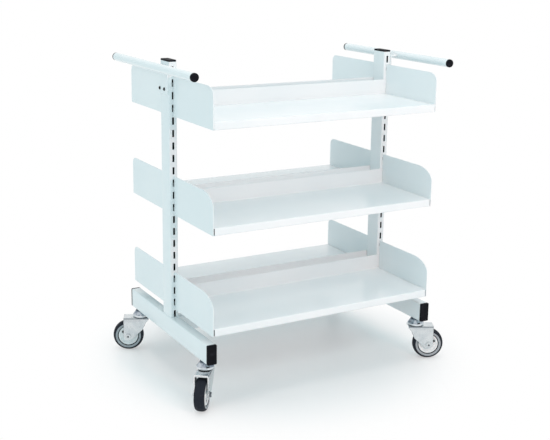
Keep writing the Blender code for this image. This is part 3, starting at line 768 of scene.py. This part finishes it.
shelf = {
    "sheet": 0.0015,
    "lip": 0.0235,
    "lipReturn": 0.010,
    "upstand": 0.048,
    "bend": 0.003,
    "edge": 0.0003,
    "notch": {"bottom": 0.0027, "middle": 0.0027, "top": 0.0012},  # each end of the lip is cut back by this
    "notchTop": 0.0014,  # below the tray
    "gapShade": (0.0090, 0.0060, 0.0070),  # dark block in the gap behind each end of the lip, painted shade there: width, depth, and how far it lies behind
    "gapShadeCorner": 0.0008,
    "gapShadePlay": 0.0002,
}
bracket = {
    "sheet": 0.002,
    "reach": 0.293,
    "uprightFace": 0.030,
    "height": 0.120,
    "lowerCorner": 0.0015,
    "corners": {"large": (0.072, 0.042), "small": (0.038, 0.024), "back": (0.022, 0.018)},
    "hookSlots": (0.099, 0.024),
    "hookTab": 0.011,
    "hookDrop": 0.008,
    "hookThickness": 0.004,
    "ledgeWidth": 0.012,
    "ledgeSpace": 0.016,
    "ledgeCorners": (0.0002, 0.004, 0.004, 0.0002),
    "edge": 0.00045,
}


def makeShelf(level, end):
    # folded path in (outwards, up): upstand, tray, lip and return; the sheet lies behind its visible side,
    # which is the left one, because the path turns left at the tray
    node = "shelf_" + level + "_" + end
    low, high = boxOf(node)[:2]
    out, sheet, reach, floor = endSign[end], shelf["sheet"], bracket["reach"], low[2]
    back, tray = bracket["uprightFace"] + seatGap + sheet, floor + shelf["lip"]
    corners = [(back, tray + shelf["upstand"]), (back, tray), (reach, tray), (reach, floor),
               (reach - shelf["lipReturn"], floor)]
    path, normal = roundCorners(corners, shelf["bend"], 7, closed=False)
    notch = np.where(path[:, 1] < tray - shelf["notchTop"], shelf["notch"][level], 0.0)
    folded = foldedSheet(path, normal, sheet, low[0] + notch, high[0] - notch)
    makePiece("shelfTray." + level + "." + end, [scaled(folded, (1, out, 1))], whitePaint, nodes=[node],
              bevel=shelf["edge"], sharpAngle=50)
    if level == "top":
        return
    # dark blocks between the lip's ends and the brackets, painted shade for the gap there: a rounded
    # rectangle carried up from return to tray
    wide, deep, behindLip = shelf["gapShade"]
    section = rectangle(wide, deep, shelf["gapShadeCorner"], 4)
    post = stackRings([section] * 2, [floor + sheet, tray - sheet])
    inset, y = wide / 2 + shelf["gapShadePlay"], out * (reach - behindLip - deep / 2)
    gapShades = [moved(post, (x, y, 0)) for x in (low[0] + inset, high[0] - inset)]
    makePiece("shelfGapShade." + level + "." + end, gapShades, blackPlastic)


def bracketOutline(corner):
    # bottom edge, outer edge with an elliptical top corner, top edge, and down past the two hooks
    near, far, height = seatGap, bracket["reach"] - bracket["uprightFace"], bracket["height"]
    crown = quarterArc((far - corner[0], height - corner[1]), corner, 28)
    foot = [(near, 0), (far, 0), (far, height)]
    foot = roundCorners(foot, bracket["lowerCorner"], 6, closed=False)[0][:-1]
    behind = -upright["wall"] - seatGap
    back = behind - bracket["hookThickness"]
    hooks = []
    for slot in bracket["hookSlots"]:
        seat = slot - upright["slotLength"] / 2 + seatGap
        top, tip = seat + bracket["hookTab"], seat - bracket["hookDrop"]
        hooks += [(near, top), (back, top), (back, tip), (behind, tip), (behind, seat), (near, seat)]
    return np.concatenate([foot, crown, [(near, height)], hooks])


def makeBracket(level, end, side):
    # outline carried through the sheet's thickness, and a ledge folded inwards under the tray
    node = "_".join(["bracket", level, end, side])
    low, high = boxOf(node)[:2]
    out, inward, sheet = endSign[end], -sideSign[side], bracket["sheet"]
    kind = "back" if end == "back" else "small" if level == "top" else "large"
    outline = bracketOutline(bracket["corners"][kind])
    plane = low[0] + sheet / 2 if inward > 0 else high[0] - sheet / 2
    place = (plane, out * bracket["uprightFace"], low[2])
    panel = scaled(alongX(stackRings([outline] * 2, [-sheet / 2, sheet / 2])), (1, out, 1), place)
    first, wide = bracket["ledgeSpace"], sheet / 2 + bracket["ledgeWidth"]
    last = bracket["reach"] - bracket["uprightFace"] - first
    plan = [(0.0, first), (wide, first), (wide, last), (0.0, last)]
    plan = roundCorners(plan, bracket["ledgeCorners"], 5)[0]
    top = shelf["lip"] - shelf["sheet"] - seatGap
    ledge = scaled(stackRings([plan] * 2, [top - sheet, top]), (inward, out, 1), place)
    makePiece(".".join(["bracketPanel", level, end, side]), [panel, ledge], whitePaint, nodes=[node],
              bevel=bracket["edge"])


# Castors

castor = {
    "wheelRadius": 0.050,
    "stud": (0.005, 0.012),  # radius and length
    "headTop": 0.015,
    "headRadius": 0.0265,
    "headDome": 0.0165,
    "headRim": 0.0025,
    "headHollow": 0.0016,  # inside of the head above its rim
    "headCorners": (0.0, 0.003, 0.0008, 0.0),  # at the plate, the shoulder and the skirt's edge
    "headSides": 72,
    "skirt": 0.0030,  # rim carried down round the race
    "skirtSheet": 0.002,
    "skirtDraft": 0.0004,
    "kingpin": 0.006,
    "rivet": (0.0098, 0.0088, 0.003),  # upper and lower radius, height
    "raceRadius": 0.0195,
    "raceBore": 0.0066,
    "raceHeight": 0.0055,
    "raceGroove": 0.0016,
    "raceSunk": 0.0004,
    "raceSides": 56,
    "forkTop": 0.1135,
    "forkHalf": 0.022,
    "forkSheet": 0.003,
    "forkBend": 0.005,
    "forkLead": 0.026,
    "forkEar": 0.0145,
    "forkEdge": 0.0005,
    "forkSteps": ([0.35], [0.7]),  # rows added along the leading edge, as shares of it
    "earSteps": 26,
    "bendShadeAcross": (0, 0, 0, 0, 0, 0, 0.2, 0.8, 1.0, 0.9, 0.4, 0, 0, 0),  # painted shade across the section, from the cheek's edge to the middle
    "leastCheek": 0.0012,
    "knee": (-0.005, 0.072),
    "kneeRound": 0.007,
    "turnedLip": 0.0052,
    "lipFlat": 0.007,
    "lipBend": 0.0024,
    "lipSheet": 0.0018,
    "lipPlay": 0.0002,
}
wheel = {
    "tyreHalf": 0.016,
    "bulge": 0.0095,  # depth of the tread's curve
    "crown": 0.80,
    "beadDepth": 0.0030,
    "beadStep": (0.0013, 0.0018),  # width of the groove at its bottom and its mouth
    "sideCorners": (0.0, 0.0002, 0.0003, 0.0005, 0.0),
    "hubRadius": 0.032,
    "rimWall": 0.0050,
    "rimHalf": 0.0145,
    "rimFlare": 0.0012,
    "rimCorners": (0.0010, 0.0012, 0.0012, 0.0010, 0.0004, 0.0004),
    "webHalf": 0.012,
    "webSunk": 0.001,  # how far rim and boss reach into the web
    "webOverlap": (0.0006, 0.0004),  # how far the web reaches into boss and rim
    "bossRadius": 0.011,
    "bossTaper": 0.0008,
    "bossHalf": 0.0187,
    "bossCorners": (0.0004, 0.0010, 0.0003, 0.0003, 0.0010, 0.0004),
    "bore": 0.0053,
    "holeRadius": 0.0042,
    "holeRing": 0.0208,
    "holeSpan": 0.62,  # half of the sector that holds the hole
    "holeChamfer": 0.0005,
    "holeRows": (1.0, 0.35, 0.10, 0.0),  # shares of the way out from the hole to the sector's edge
    "holePoints": 12,  # on each of the sector's four sides
    "sides": {"tyre": 112, "rim": 96, "boss": 48, "web": 73},
    "holeAngles": {"front_left": -90, "front_right": 25, "back_left": 36, "back_right": -90},
}
axle = {
    "radius": 0.005,
    "headRadius": 0.0085,
    "head": 0.005,
    "headEdge": 0.0012,
    "washerRadius": 0.0106,
    "washer": 0.0011,
    "washerEdge": 0.0003,
    "washerSunk": 0.0001,
    "recess": 0.0034,
    "recessDepth": 0.0026,
    "recessStep": 0.0005,
    "recessRim": (0.0014, 0.0010),  # how far the step is wider than the recess, at its top and bottom
    "recessTaper": 0.0003,
    "recessShade": 0.0010,  # thickness of a dark disc at the bottom of the recess, painted shade there
    "threadEnd": 0.00125,
    "threadEdge": 0.0007,
    "nutCone": (0.0079, 0.0083, 0.0090, 0.0090, 0.0083, 0.0078),
    "nutRise": (0, 0.06, 0.16, 0.80, 0.92, 1.0),  # shares of the nut's height
    "sides": {"head": 40, "washer": 48, "shank": 32, "recessShade": 24, "nut": 96},
    "facing": {"front_left": 1, "front_right": 1, "back_left": -1, "back_right": 1},  # -1 swaps head and nut
}


def headShell(top):
    # stud, cone from the plate to a rounded shoulder, rolled skirt, then in to the kingpin and its rivet
    skirt, shoulder = castor["headRadius"], top - castor["headDome"]
    under = shoulder - castor["headRim"]
    edge, roof = under - castor["skirt"], under + castor["headHollow"]
    inside, (stud, studLength) = skirt - castor["skirtSheet"], castor["stud"]
    pin, (wide, narrow, deep) = castor["kingpin"], castor["rivet"]
    rivet = castor["forkTop"] - castor["forkSheet"] - seatGap
    cone = [(castor["headTop"], top), (skirt, shoulder), (skirt, edge), (inside, edge)]
    cone = roundCorners(cone, castor["headCorners"], 6, closed=False)[0]
    profile = np.concatenate([
        [(0, top + studLength), (stud, top + studLength), (stud, top)], cone,
        [(inside - castor["skirtDraft"], roof), (pin, roof), (pin, rivet), (wide, rivet),
         (narrow, rivet - deep), (0, rivet - deep)],
    ])
    return turnProfile(profile, castor["headSides"])


def raceShell():
    # two rings with a groove between them, on the fork's top plate
    low, high = castor["forkTop"] - castor["raceSunk"], castor["forkTop"] + castor["raceHeight"]
    bore, radius = castor["raceBore"], castor["raceRadius"]
    groove, third = radius - castor["raceGroove"], (high - low) / 3
    profile = [(bore, low), (radius, low), (radius, low + third), (groove, low + third * 1.3),
               (groove, low + third * 1.7), (radius, low + 2 * third), (radius, high), (bore, high)]
    return turnProfile(profile, castor["raceSides"], closed=True)


def forkSide(trail):
    # lower edge of a cheek in (along, up): leading edge, rounded knee, tangent to the ear, and round it
    knee, ear = np.array(castor["knee"]), castor["forkEar"]
    centre = np.array((trail, castor["wheelRadius"]))
    toEar = centre - knee
    slope = math.atan2(toEar[1], toEar[0])
    tangent = slope - math.pi / 2 - math.asin(ear / np.linalg.norm(toEar))
    touch = centre + ear * unit(tangent)
    lead = (-castor["forkLead"], castor["forkTop"])
    leading = roundCorners([lead, knee, touch], castor["kneeRound"], 8, closed=False)[0]
    between = leading[:1] + (leading[1] - leading[0]) * castor["forkSteps"]
    roundEar = centre + ear * unit(np.linspace(tangent, 0, castor["earSteps"])[1:])
    return np.concatenate([leading[:1], between, leading[1:], roundEar])


def forkShell(trail):
    # U section at each point of the lower edge: cheek up, bend, top plate, bend, cheek down;
    # the inside is the outside less sheet * normal
    edge = forkSide(trail)
    half, bend = castor["forkHalf"], castor["forkBend"]
    shoulder = castor["forkTop"] - bend
    along, bottom = edge[:, :1], np.minimum(edge[:, 1:], shoulder - castor["leastCheek"])
    rise = np.concatenate([[0.0], np.linspace(0.03, 1, 6)])
    arc = np.linspace(np.pi, np.pi / 2, 8)[1:]
    ones, level = np.ones((len(edge), 1)), np.zeros(len(rise))

    def bothCheeks(values, sign=1):
        # a half section in every row, and its mirror image after it
        rows = values * ones
        return np.concatenate([rows, sign * rows[:, ::-1]], 1)

    across = bothCheeks(np.concatenate([level - half, -half + bend + bend * np.cos(arc)]), -1)
    cheek = bottom + (shoulder - bottom) * rise
    height = bothCheeks(np.concatenate([cheek, ones * (shoulder + bend * np.sin(arc))], 1))
    normalAcross = bothCheeks(np.concatenate([level - 1, np.cos(arc)]), -1)
    normalUp = bothCheeks(np.concatenate([level, np.sin(arc)]))
    outer = np.stack([along * np.ones_like(across), across, height], -1)
    inner = outer - castor["forkSheet"] * np.stack([np.zeros_like(across), normalAcross, normalUp], -1)
    # marks for the finish: painted shade on the outside of the bend, and a painted highlight on the edges of
    # the sheet
    bendShade = bothCheeks(np.array(castor["bendShadeAcross"])).ravel()
    edgeHighlight = np.zeros_like(across)
    edgeHighlight[:, [0, -1]] = 1.0
    edgeHighlight[-1] = 1.0
    marks = {"bendShade": np.concatenate([bendShade, 0 * bendShade]), "edgeHighlight": np.tile(edgeHighlight.ravel(), 2)}
    points = np.concatenate([outer.reshape(-1, 3), inner.reshape(-1, 3)])
    return (points, [shellQuads(*across.shape)]), marks


def forkLip(trail):
    # trailing edge of the top plate turned down between the cheeks: a bent strip carried across
    play = castor["lipPlay"]
    end, top = trail + castor["forkEar"], castor["forkTop"] - castor["leastCheek"]
    corners = [(end - castor["lipFlat"], top), (end - play, top), (end - play, top - castor["turnedLip"])]
    path, normal = roundCorners(corners, castor["lipBend"], 6, closed=False)
    reach = castor["forkHalf"] - castor["forkSheet"] + play
    points, faces = foldedSheet(path, normal, castor["lipSheet"], -reach, reach)
    return points[:, [1, 0, 2]], faces


def hexNut(seat):
    # radius is the smaller of the hexagon, apothem / cos(angle to the flat), and the chamfer cone
    angles = fullTurn(axle["sides"]["nut"])
    flat = np.abs((angles + np.pi / 6) % (np.pi / 3) - np.pi / 6)
    hexagon = axle["headRadius"] * math.cos(math.pi / 6) / np.cos(flat)
    radius = np.minimum(hexagon[None], np.array(axle["nutCone"])[:, None])
    rings = list(radius[..., None] * unit(angles)[None])
    return stackRings(rings, seat + axle["head"] * np.array(axle["nutRise"]))


def axlePieces():
    # round head with a recess on one cheek; washer, chamfered nut and the bolt's end on the other;
    # bright parts, then dark ones: the nut, and a disc of painted shade at the bottom of the recess
    seat, radius, top = castor["forkHalf"] + seatGap, axle["radius"], axle["head"]
    wide, edge, recess, step = axle["headRadius"], axle["headEdge"], axle["recess"], axle["recessStep"]
    floor, (upper, lower), sides = top - axle["recessDepth"], axle["recessRim"], axle["sides"]
    head = np.concatenate([
        [(0, 0), (wide, 0)], quarterArc((wide - edge, top - edge), (edge, edge), 6),
        [(recess + upper, top), (recess + lower, top - step), (recess, top - step),
         (recess - axle["recessTaper"], floor), (0, floor)],
    ]) * (1, -1) - (0, seat)
    rim, thick, bevel = axle["washerRadius"], axle["washer"], axle["washerEdge"]
    washer = np.array([(radius, 0), (rim - bevel, 0), (rim, bevel), (rim, thick - bevel),
                       (rim - bevel, thick), (radius, thick)])
    base = (0, seat - axle["washerSunk"])
    rings = (washer * (1, -1) - base, washer + base)
    washers = [turnProfile(ring, sides["washer"], closed=True) for ring in rings]
    tip, chamfer = seat + top + axle["threadEnd"], axle["threadEdge"]
    shank = [(0, -seat), (radius, -seat), (radius, tip - chamfer), (radius - chamfer, tip), (0, tip)]
    within, roof = recess - step, floor + axle["recessShade"]
    # dark disc at the bottom of the recess: painted shade there
    recessShade = np.array([(0, floor), (within, floor), (within, roof), (0, roof)]) * (1, -1) - (0, seat)
    bright = [turnProfile(head, sides["head"]), *washers, turnProfile(shank, sides["shank"])]
    return bright, [hexNut(seat), turnProfile(recessShade, sides["recessShade"])]


def tyreShell():
    # closed section in (radius, across): seat, bead groove and sidewall, then a superellipse over the tread,
    # radius - bulge + bulge sin(a)^p against half cos(a)^p
    half, bulge, power = wheel["tyreHalf"], wheel["bulge"], wheel["crown"]
    shoulder, seat = castor["wheelRadius"] - bulge, wheel["hubRadius"] + seatGap
    groove, mouth = wheel["rimHalf"] - wheel["beadDepth"], wheel["rimHalf"] + seatGap
    narrow, wide = wheel["beadStep"]
    side = [(seat, 0), (seat, groove), (seat + narrow, groove), (seat + wide, mouth), (shoulder, half)]
    side = roundCorners(side, wheel["sideCorners"], 5, closed=False)[0]
    turn = np.linspace(0, np.pi / 2, 14)[1:]
    crown = np.stack([shoulder + bulge * np.sin(turn) ** power, half * np.abs(np.cos(turn)) ** power], 1)
    section = np.concatenate([side, crown])
    section = np.concatenate([section, section[-2:0:-1] * (1, -1)])
    return turnProfile(section, wheel["sides"]["tyre"], closed=True)


def hubWeb(turn):
    # sector round the hole: rows blend from the sector's edge to the hole's circle, through it and out again
    # behind; the rest of the disc is one closed section of radius and height carried round the axle
    intoBoss, intoRim = wheel["webOverlap"]
    inner = wheel["bossRadius"] - intoBoss
    outer = wheel["hubRadius"] - wheel["rimWall"] + intoRim
    ring, span, half = wheel["holeRing"], wheel["holeSpan"], wheel["webHalf"]
    count, steps = wheel["holePoints"], wheel["sides"]["web"]
    share, flat = np.linspace(0, 1, count, endpoint=False), np.ones(count)
    outwards, inwards = inner + (outer - inner) * share, outer + (inner - outer) * share
    radius = np.concatenate([outwards, flat * outer, inwards, flat * inner])
    angle = np.concatenate([-span * flat, -span + 2 * span * share, span * flat, span - 2 * span * share])
    edge = radius[:, None] * unit(angle)
    toEdge = np.stack([radius - ring, angle * ring], 1)
    rim = (ring, 0) + wheel["holeRadius"] * toEdge / np.linalg.norm(toEdge, axis=1, keepdims=True)
    rows = rim + (edge - rim) * np.array(wheel["holeRows"])[:, None, None]
    around = 4 * count
    heights = np.full((4, around, 1), half)
    heights[-1] -= wheel["holeChamfer"]
    face = np.concatenate([rows, heights], -1)
    cell = np.concatenate([face, face[::-1] * (1, 1, -1)]).reshape(-1, 3)
    onArc = np.arange(around) // count % 2 == 1
    quads = gridQuads(8, around, wrapRows=True, wrapCols=True)
    quads = np.concatenate([quads[:-around], quads[-around:][onArc]])
    across = inner + (outer - inner) * np.linspace(0, 1, count + 1)
    loop = np.concatenate([across, across[::-1]])[:, None]
    angles = np.linspace(span, 2 * np.pi - span, steps)
    height = np.repeat([half, -half], count + 1)[:, None] * np.ones(steps)
    rest = np.stack([loop * np.cos(angles), loop * np.sin(angles), height], -1).reshape(-1, 3)
    pieces = [(cell, [quads]), (rest, [gridQuads(len(loop), steps, wrapRows=True)])]
    # 1 on the wall of the hole, where the finish paints shade
    holeShadeMask = np.repeat([0, 0, 0, 1, 1, 0, 0, 0], around)
    return [moved(piece, (0, 0, 0), turn) for piece in pieces], np.concatenate([holeShadeMask, np.zeros(len(rest))])


def hubPieces(turn):
    # web with its hole, boss and rim, each turned about the axle
    inner, outer, half = wheel["hubRadius"] - wheel["rimWall"], wheel["hubRadius"], wheel["rimHalf"]
    sunk, flared = wheel["webHalf"] - wheel["webSunk"], inner - wheel["rimFlare"]
    rim = [(inner, -half), (outer, -half), (outer, half), (inner, half), (flared, sunk), (flared, -sunk)]
    rim = roundCorners(rim, wheel["rimCorners"], 5)[0]
    bore, end = wheel["bore"], wheel["bossHalf"]
    narrow, wide = wheel["bossRadius"] - wheel["bossTaper"], wheel["bossRadius"] + wheel["bossTaper"]
    boss = [(bore, -end), (narrow, -end), (wide, -sunk), (wide, sunk), (narrow, end), (bore, end)]
    boss = roundCorners(boss, wheel["bossCorners"], 5)[0]
    sides = wheel["sides"]
    turned = [turnProfile(rim, sides["rim"], closed=True), turnProfile(boss, sides["boss"], closed=True)]
    web, holeShadeMask = hubWeb(turn)
    return turned + web, np.concatenate([np.zeros(sum(len(points) for points, faces in turned)), holeShadeMask])


def makeCastor(end, side):
    # the swivel's parts turn about the head's axis, the wheel's about the axle behind it
    spot, label = end + "_" + side, "." + end + "." + side
    node = "castor_" + spot + "_"
    headHigh, pivot = boxOf(node + "head")[1], boxOf(node + "head")[2][:2]
    hubAt = boxOf(node + "tyre")[2][:2]
    heading = math.atan2(*(hubAt - pivot)[::-1])
    trail = float(np.linalg.norm(hubAt - pivot))
    top = headHigh[2] - castor["stud"][1] - seatGap

    def onSwivel(part):
        # from (along the trail, across, up) about the swivel's axis
        return moved(part, (*pivot, 0.0), heading)

    def onWheel(part, facing=1):
        # from (along the trail, up, across) about the axle
        return moved(alongY(scaled(part, (1, 1, facing))), (*hubAt, castor["wheelRadius"]), heading)

    head = headShell(top)
    # rise: height on the head, by which the finish paints the bright reflection on the skirt and the shade
    # under the foot
    rise = (head[0][:, 2] - top) / (castor["headDome"] + castor["headRim"] + castor["skirt"]) + 1
    makePiece("castorHead" + label, [onSwivel(head)], domeZinc, nodes=[node + "head"], marks={"rise": rise})
    fork, marks = forkShell(trail)
    lip = forkLip(trail)
    marks = {key: np.concatenate([values, np.zeros(len(lip[0]))]) for key, values in marks.items()}
    makePiece("castorFork" + label, [onSwivel(fork), onSwivel(lip)], forkZinc, body=node + "swivel",
              nodes=[node + "fork"], bevel=castor["forkEdge"], sharpAngle=50, marks=marks)
    makePiece("castorRace" + label, [onSwivel(raceShell())], raceSteel, body=node + "swivel")
    bright, dark = ([onWheel(part, axle["facing"][spot]) for part in group] for group in axlePieces())
    makePiece("castorAxle" + label, bright, zincPlate, body=node + "swivel", nodes=[node + "axle"],
              sharpAngle=30)
    makePiece("castorNutAndRecessShade" + label, dark, nutSteel, body=node + "swivel", sharpAngle=30)
    hub, holeShadeMask = hubPieces(math.radians(wheel["holeAngles"][spot]))
    makePiece("castorHub" + label, [onWheel(part) for part in hub], hubPlastic, body=node + "wheel",
              nodes=[node + "hub"], marks={"holeShadeMask": holeShadeMask})
    tyre = tyreShell()
    fromAxle = np.linalg.norm(tyre[0][:, :2], axis=1)
    makePiece("castorTyre" + label, [onWheel(tyre)], tyreRubber, body=node + "wheel", nodes=[node + "tyre"],
              marks={"fromAxle": fromAxle})


for side in sideSign:
    makeUpright(side)
    makeUprightLid(side)
    makeFoot(side)
    makeHandle(side)
    makeHandlePlate(side)
for level in ("bottom", "top"):
    makeRail(level)
print("end frames made")
for level in shelf["notch"]:
    for end in endSign:
        makeShelf(level, end)
        for side in sideSign:
            makeBracket(level, end, side)
print("shelves and brackets made")
for end in endSign:
    for side in sideSign:
        makeCastor(end, side)
print("castors made")


# Floor, light and camera

studio = {
    "white": colour(1, 1, 1),
    "floorHalf": 12.0,
    "floorTone": colour(0.930, 0.945, 0.945),
    "floorShade": colour(0.920, 0.938, 0.940),
    "floorFade": (0.34, 0.68),  # distance from the middle over which the floor turns to plain white
    "worldTone": colour(0.700, 0.945, 1.0),
    "worldStrength": 0.685,
}
lamps = {
    # place, aim, width, watts, tone
    "key": ((0.2, -2.4, 1.20), (0.0, 0.0, 0.60), 0.40, 13.4, (1.0, 0.50, 0.42)),
    "high": ((0.0, -2.4, 2.3), (0.0, 0.0, 0.4), 0.7, 16.2, (0.86, 0.85, 0.83)),
    "back": ((0.4, 2.7, 1.30), (0.0, 0.0, 0.60), 0.9, 11.0, (1.0, 0.56, 0.48)),
    "fill": ((-3.4, -0.6, 1.7), (0.0, 0.0, 0.5), 2.2, 15.0, (1.0, 0.97, 0.95)),
    "over": ((0.0, 0.2, 6.0), (0.0, 0.0, 0.0), 4.0, 106.0, (1.0, 0.75, 0.70)),
}
viewpoint = {
    "focal": 1026.28,  # in pixels of a frame 550 wide
    "frameWidth": 550.0,
    "sensor": 36.0,
    "place": (-1.60868, -2.76762, 1.31840),
    "yaw": -29.91,
    "pitch": 13.41,
    "roll": 0.81,
    "shift": -0.05455,
    "farthest": 60.0,
}


def floorPaint(place):
    # nearly white, with a slow change of tone
    return {
        "Base Color": place.noise(2.0).blend(studio["floorTone"], studio["floorShade"]),
        "Roughness": 0.42,
        "Specular IOR Level": 0.25,
    }


def makeFloor():
    # square on z = 0; its shader goes over to plain white with the distance from the middle
    half = studio["floorHalf"]
    mesh = bpy.data.meshes.new("studioFloor")
    corners = [(-half, -half, 0), (half, -half, 0), (half, half, 0), (-half, half, 0)]
    mesh.from_pydata(corners, [], [[0, 1, 2, 3]])
    floor = addToScene("studioFloor", mesh)
    material = makeFinish("paleStudioFloor", None, floorPaint)
    tree = material.node_tree
    place = Wire(tree).add("ShaderNodeTexCoord", out="Object")
    away = place.add("ShaderNodeVectorMath", {"operation": "LENGTH"}, {0: place}, out="Value")
    white = place.add("ShaderNodeEmission", None, {"Color": studio["white"], "Strength": 1.0})
    shaded = Wire(tree, tree.nodes["Principled BSDF"].outputs[0])
    share = away.step(*studio["floorFade"]) * place.seen()
    mixed = place.add("ShaderNodeMixShader", None, {0: share, 1: shaded, 2: white})
    place.fill(tree.nodes["Material Output"], {"Surface": mixed})
    mesh.materials.append(material)


def makeWorld():
    # soft tinted light for the object, plain white for what the camera and the metal see
    world = bpy.data.worlds.new("studioWorld")
    bpy.context.scene.world = world
    world.use_nodes = True
    world.node_tree.nodes.clear()
    room = Wire(world.node_tree)
    soft, white = (
        room.add("ShaderNodeBackground", None, {"Color": tone, "Strength": strength})
        for tone, strength in ((studio["worldTone"], studio["worldStrength"]), (studio["white"], 1.0))
    )
    mixed = room.add("ShaderNodeMixShader", None, {0: room.seen(), 1: soft, 2: white})
    room.fill(world.node_tree.nodes.new("ShaderNodeOutputWorld"), {"Surface": mixed})


def stand(item, right, up, back, place):
    # the object's X, Y and Z axes and its origin
    turn = np.eye(4)
    turn[:3] = np.stack([right, up, back, place], 1)
    item.matrix_world = Matrix(turn.tolist())


def makeLamp(name, place, aim, width, watts, tone):
    # square area lamp; its -Z looks from its place to its aim
    lamp = bpy.data.lights.new(name, "AREA")
    lamp.shape = "SQUARE"
    lamp.size = width
    lamp.energy = watts
    lamp.color = tone
    holder = addToScene(name, lamp)
    back = np.array(place, float) - np.array(aim, float)
    back = back / np.linalg.norm(back)
    right = np.cross((0.0, 1.0, 0.0) if abs(back[2]) > 0.99 else (0.0, 0.0, 1.0), back)
    right = right / np.linalg.norm(right)
    stand(holder, right, np.cross(back, right), back, place)
    holder.visible_glossy = False  # the metal shows the white room, not the lamp's tint


def makeCamera():
    # looks along (-sin yaw cos pitch, cos yaw cos pitch, -sin pitch), rolled about that line
    yaw, pitch, roll = (math.radians(viewpoint[key]) for key in ("yaw", "pitch", "roll"))
    ahead = np.array([-math.sin(yaw) * math.cos(pitch), math.cos(yaw) * math.cos(pitch), -math.sin(pitch)])
    level = np.array([math.cos(yaw), math.sin(yaw), 0.0])
    rise = np.cross(level, ahead)
    lens = bpy.data.cameras.new("studioCamera")
    lens.sensor_fit = "HORIZONTAL"
    lens.sensor_width = viewpoint["sensor"]
    lens.lens = viewpoint["focal"] / viewpoint["frameWidth"] * viewpoint["sensor"]
    lens.shift_y = viewpoint["shift"]
    lens.clip_end = viewpoint["farthest"]
    holder = addToScene("studioCamera", lens)
    cosine, sine = math.cos(roll), math.sin(roll)
    stand(holder, level * cosine + rise * sine, rise * cosine - level * sine, -ahead, viewpoint["place"])
    bpy.context.scene.camera = holder


makeFloor()
makeWorld()
for name, settings in lamps.items():
    makeLamp(name + "Lamp", *settings)
makeCamera()
bpy.context.scene.view_settings.view_transform = "Standard"
print("floor, lamps and camera set")
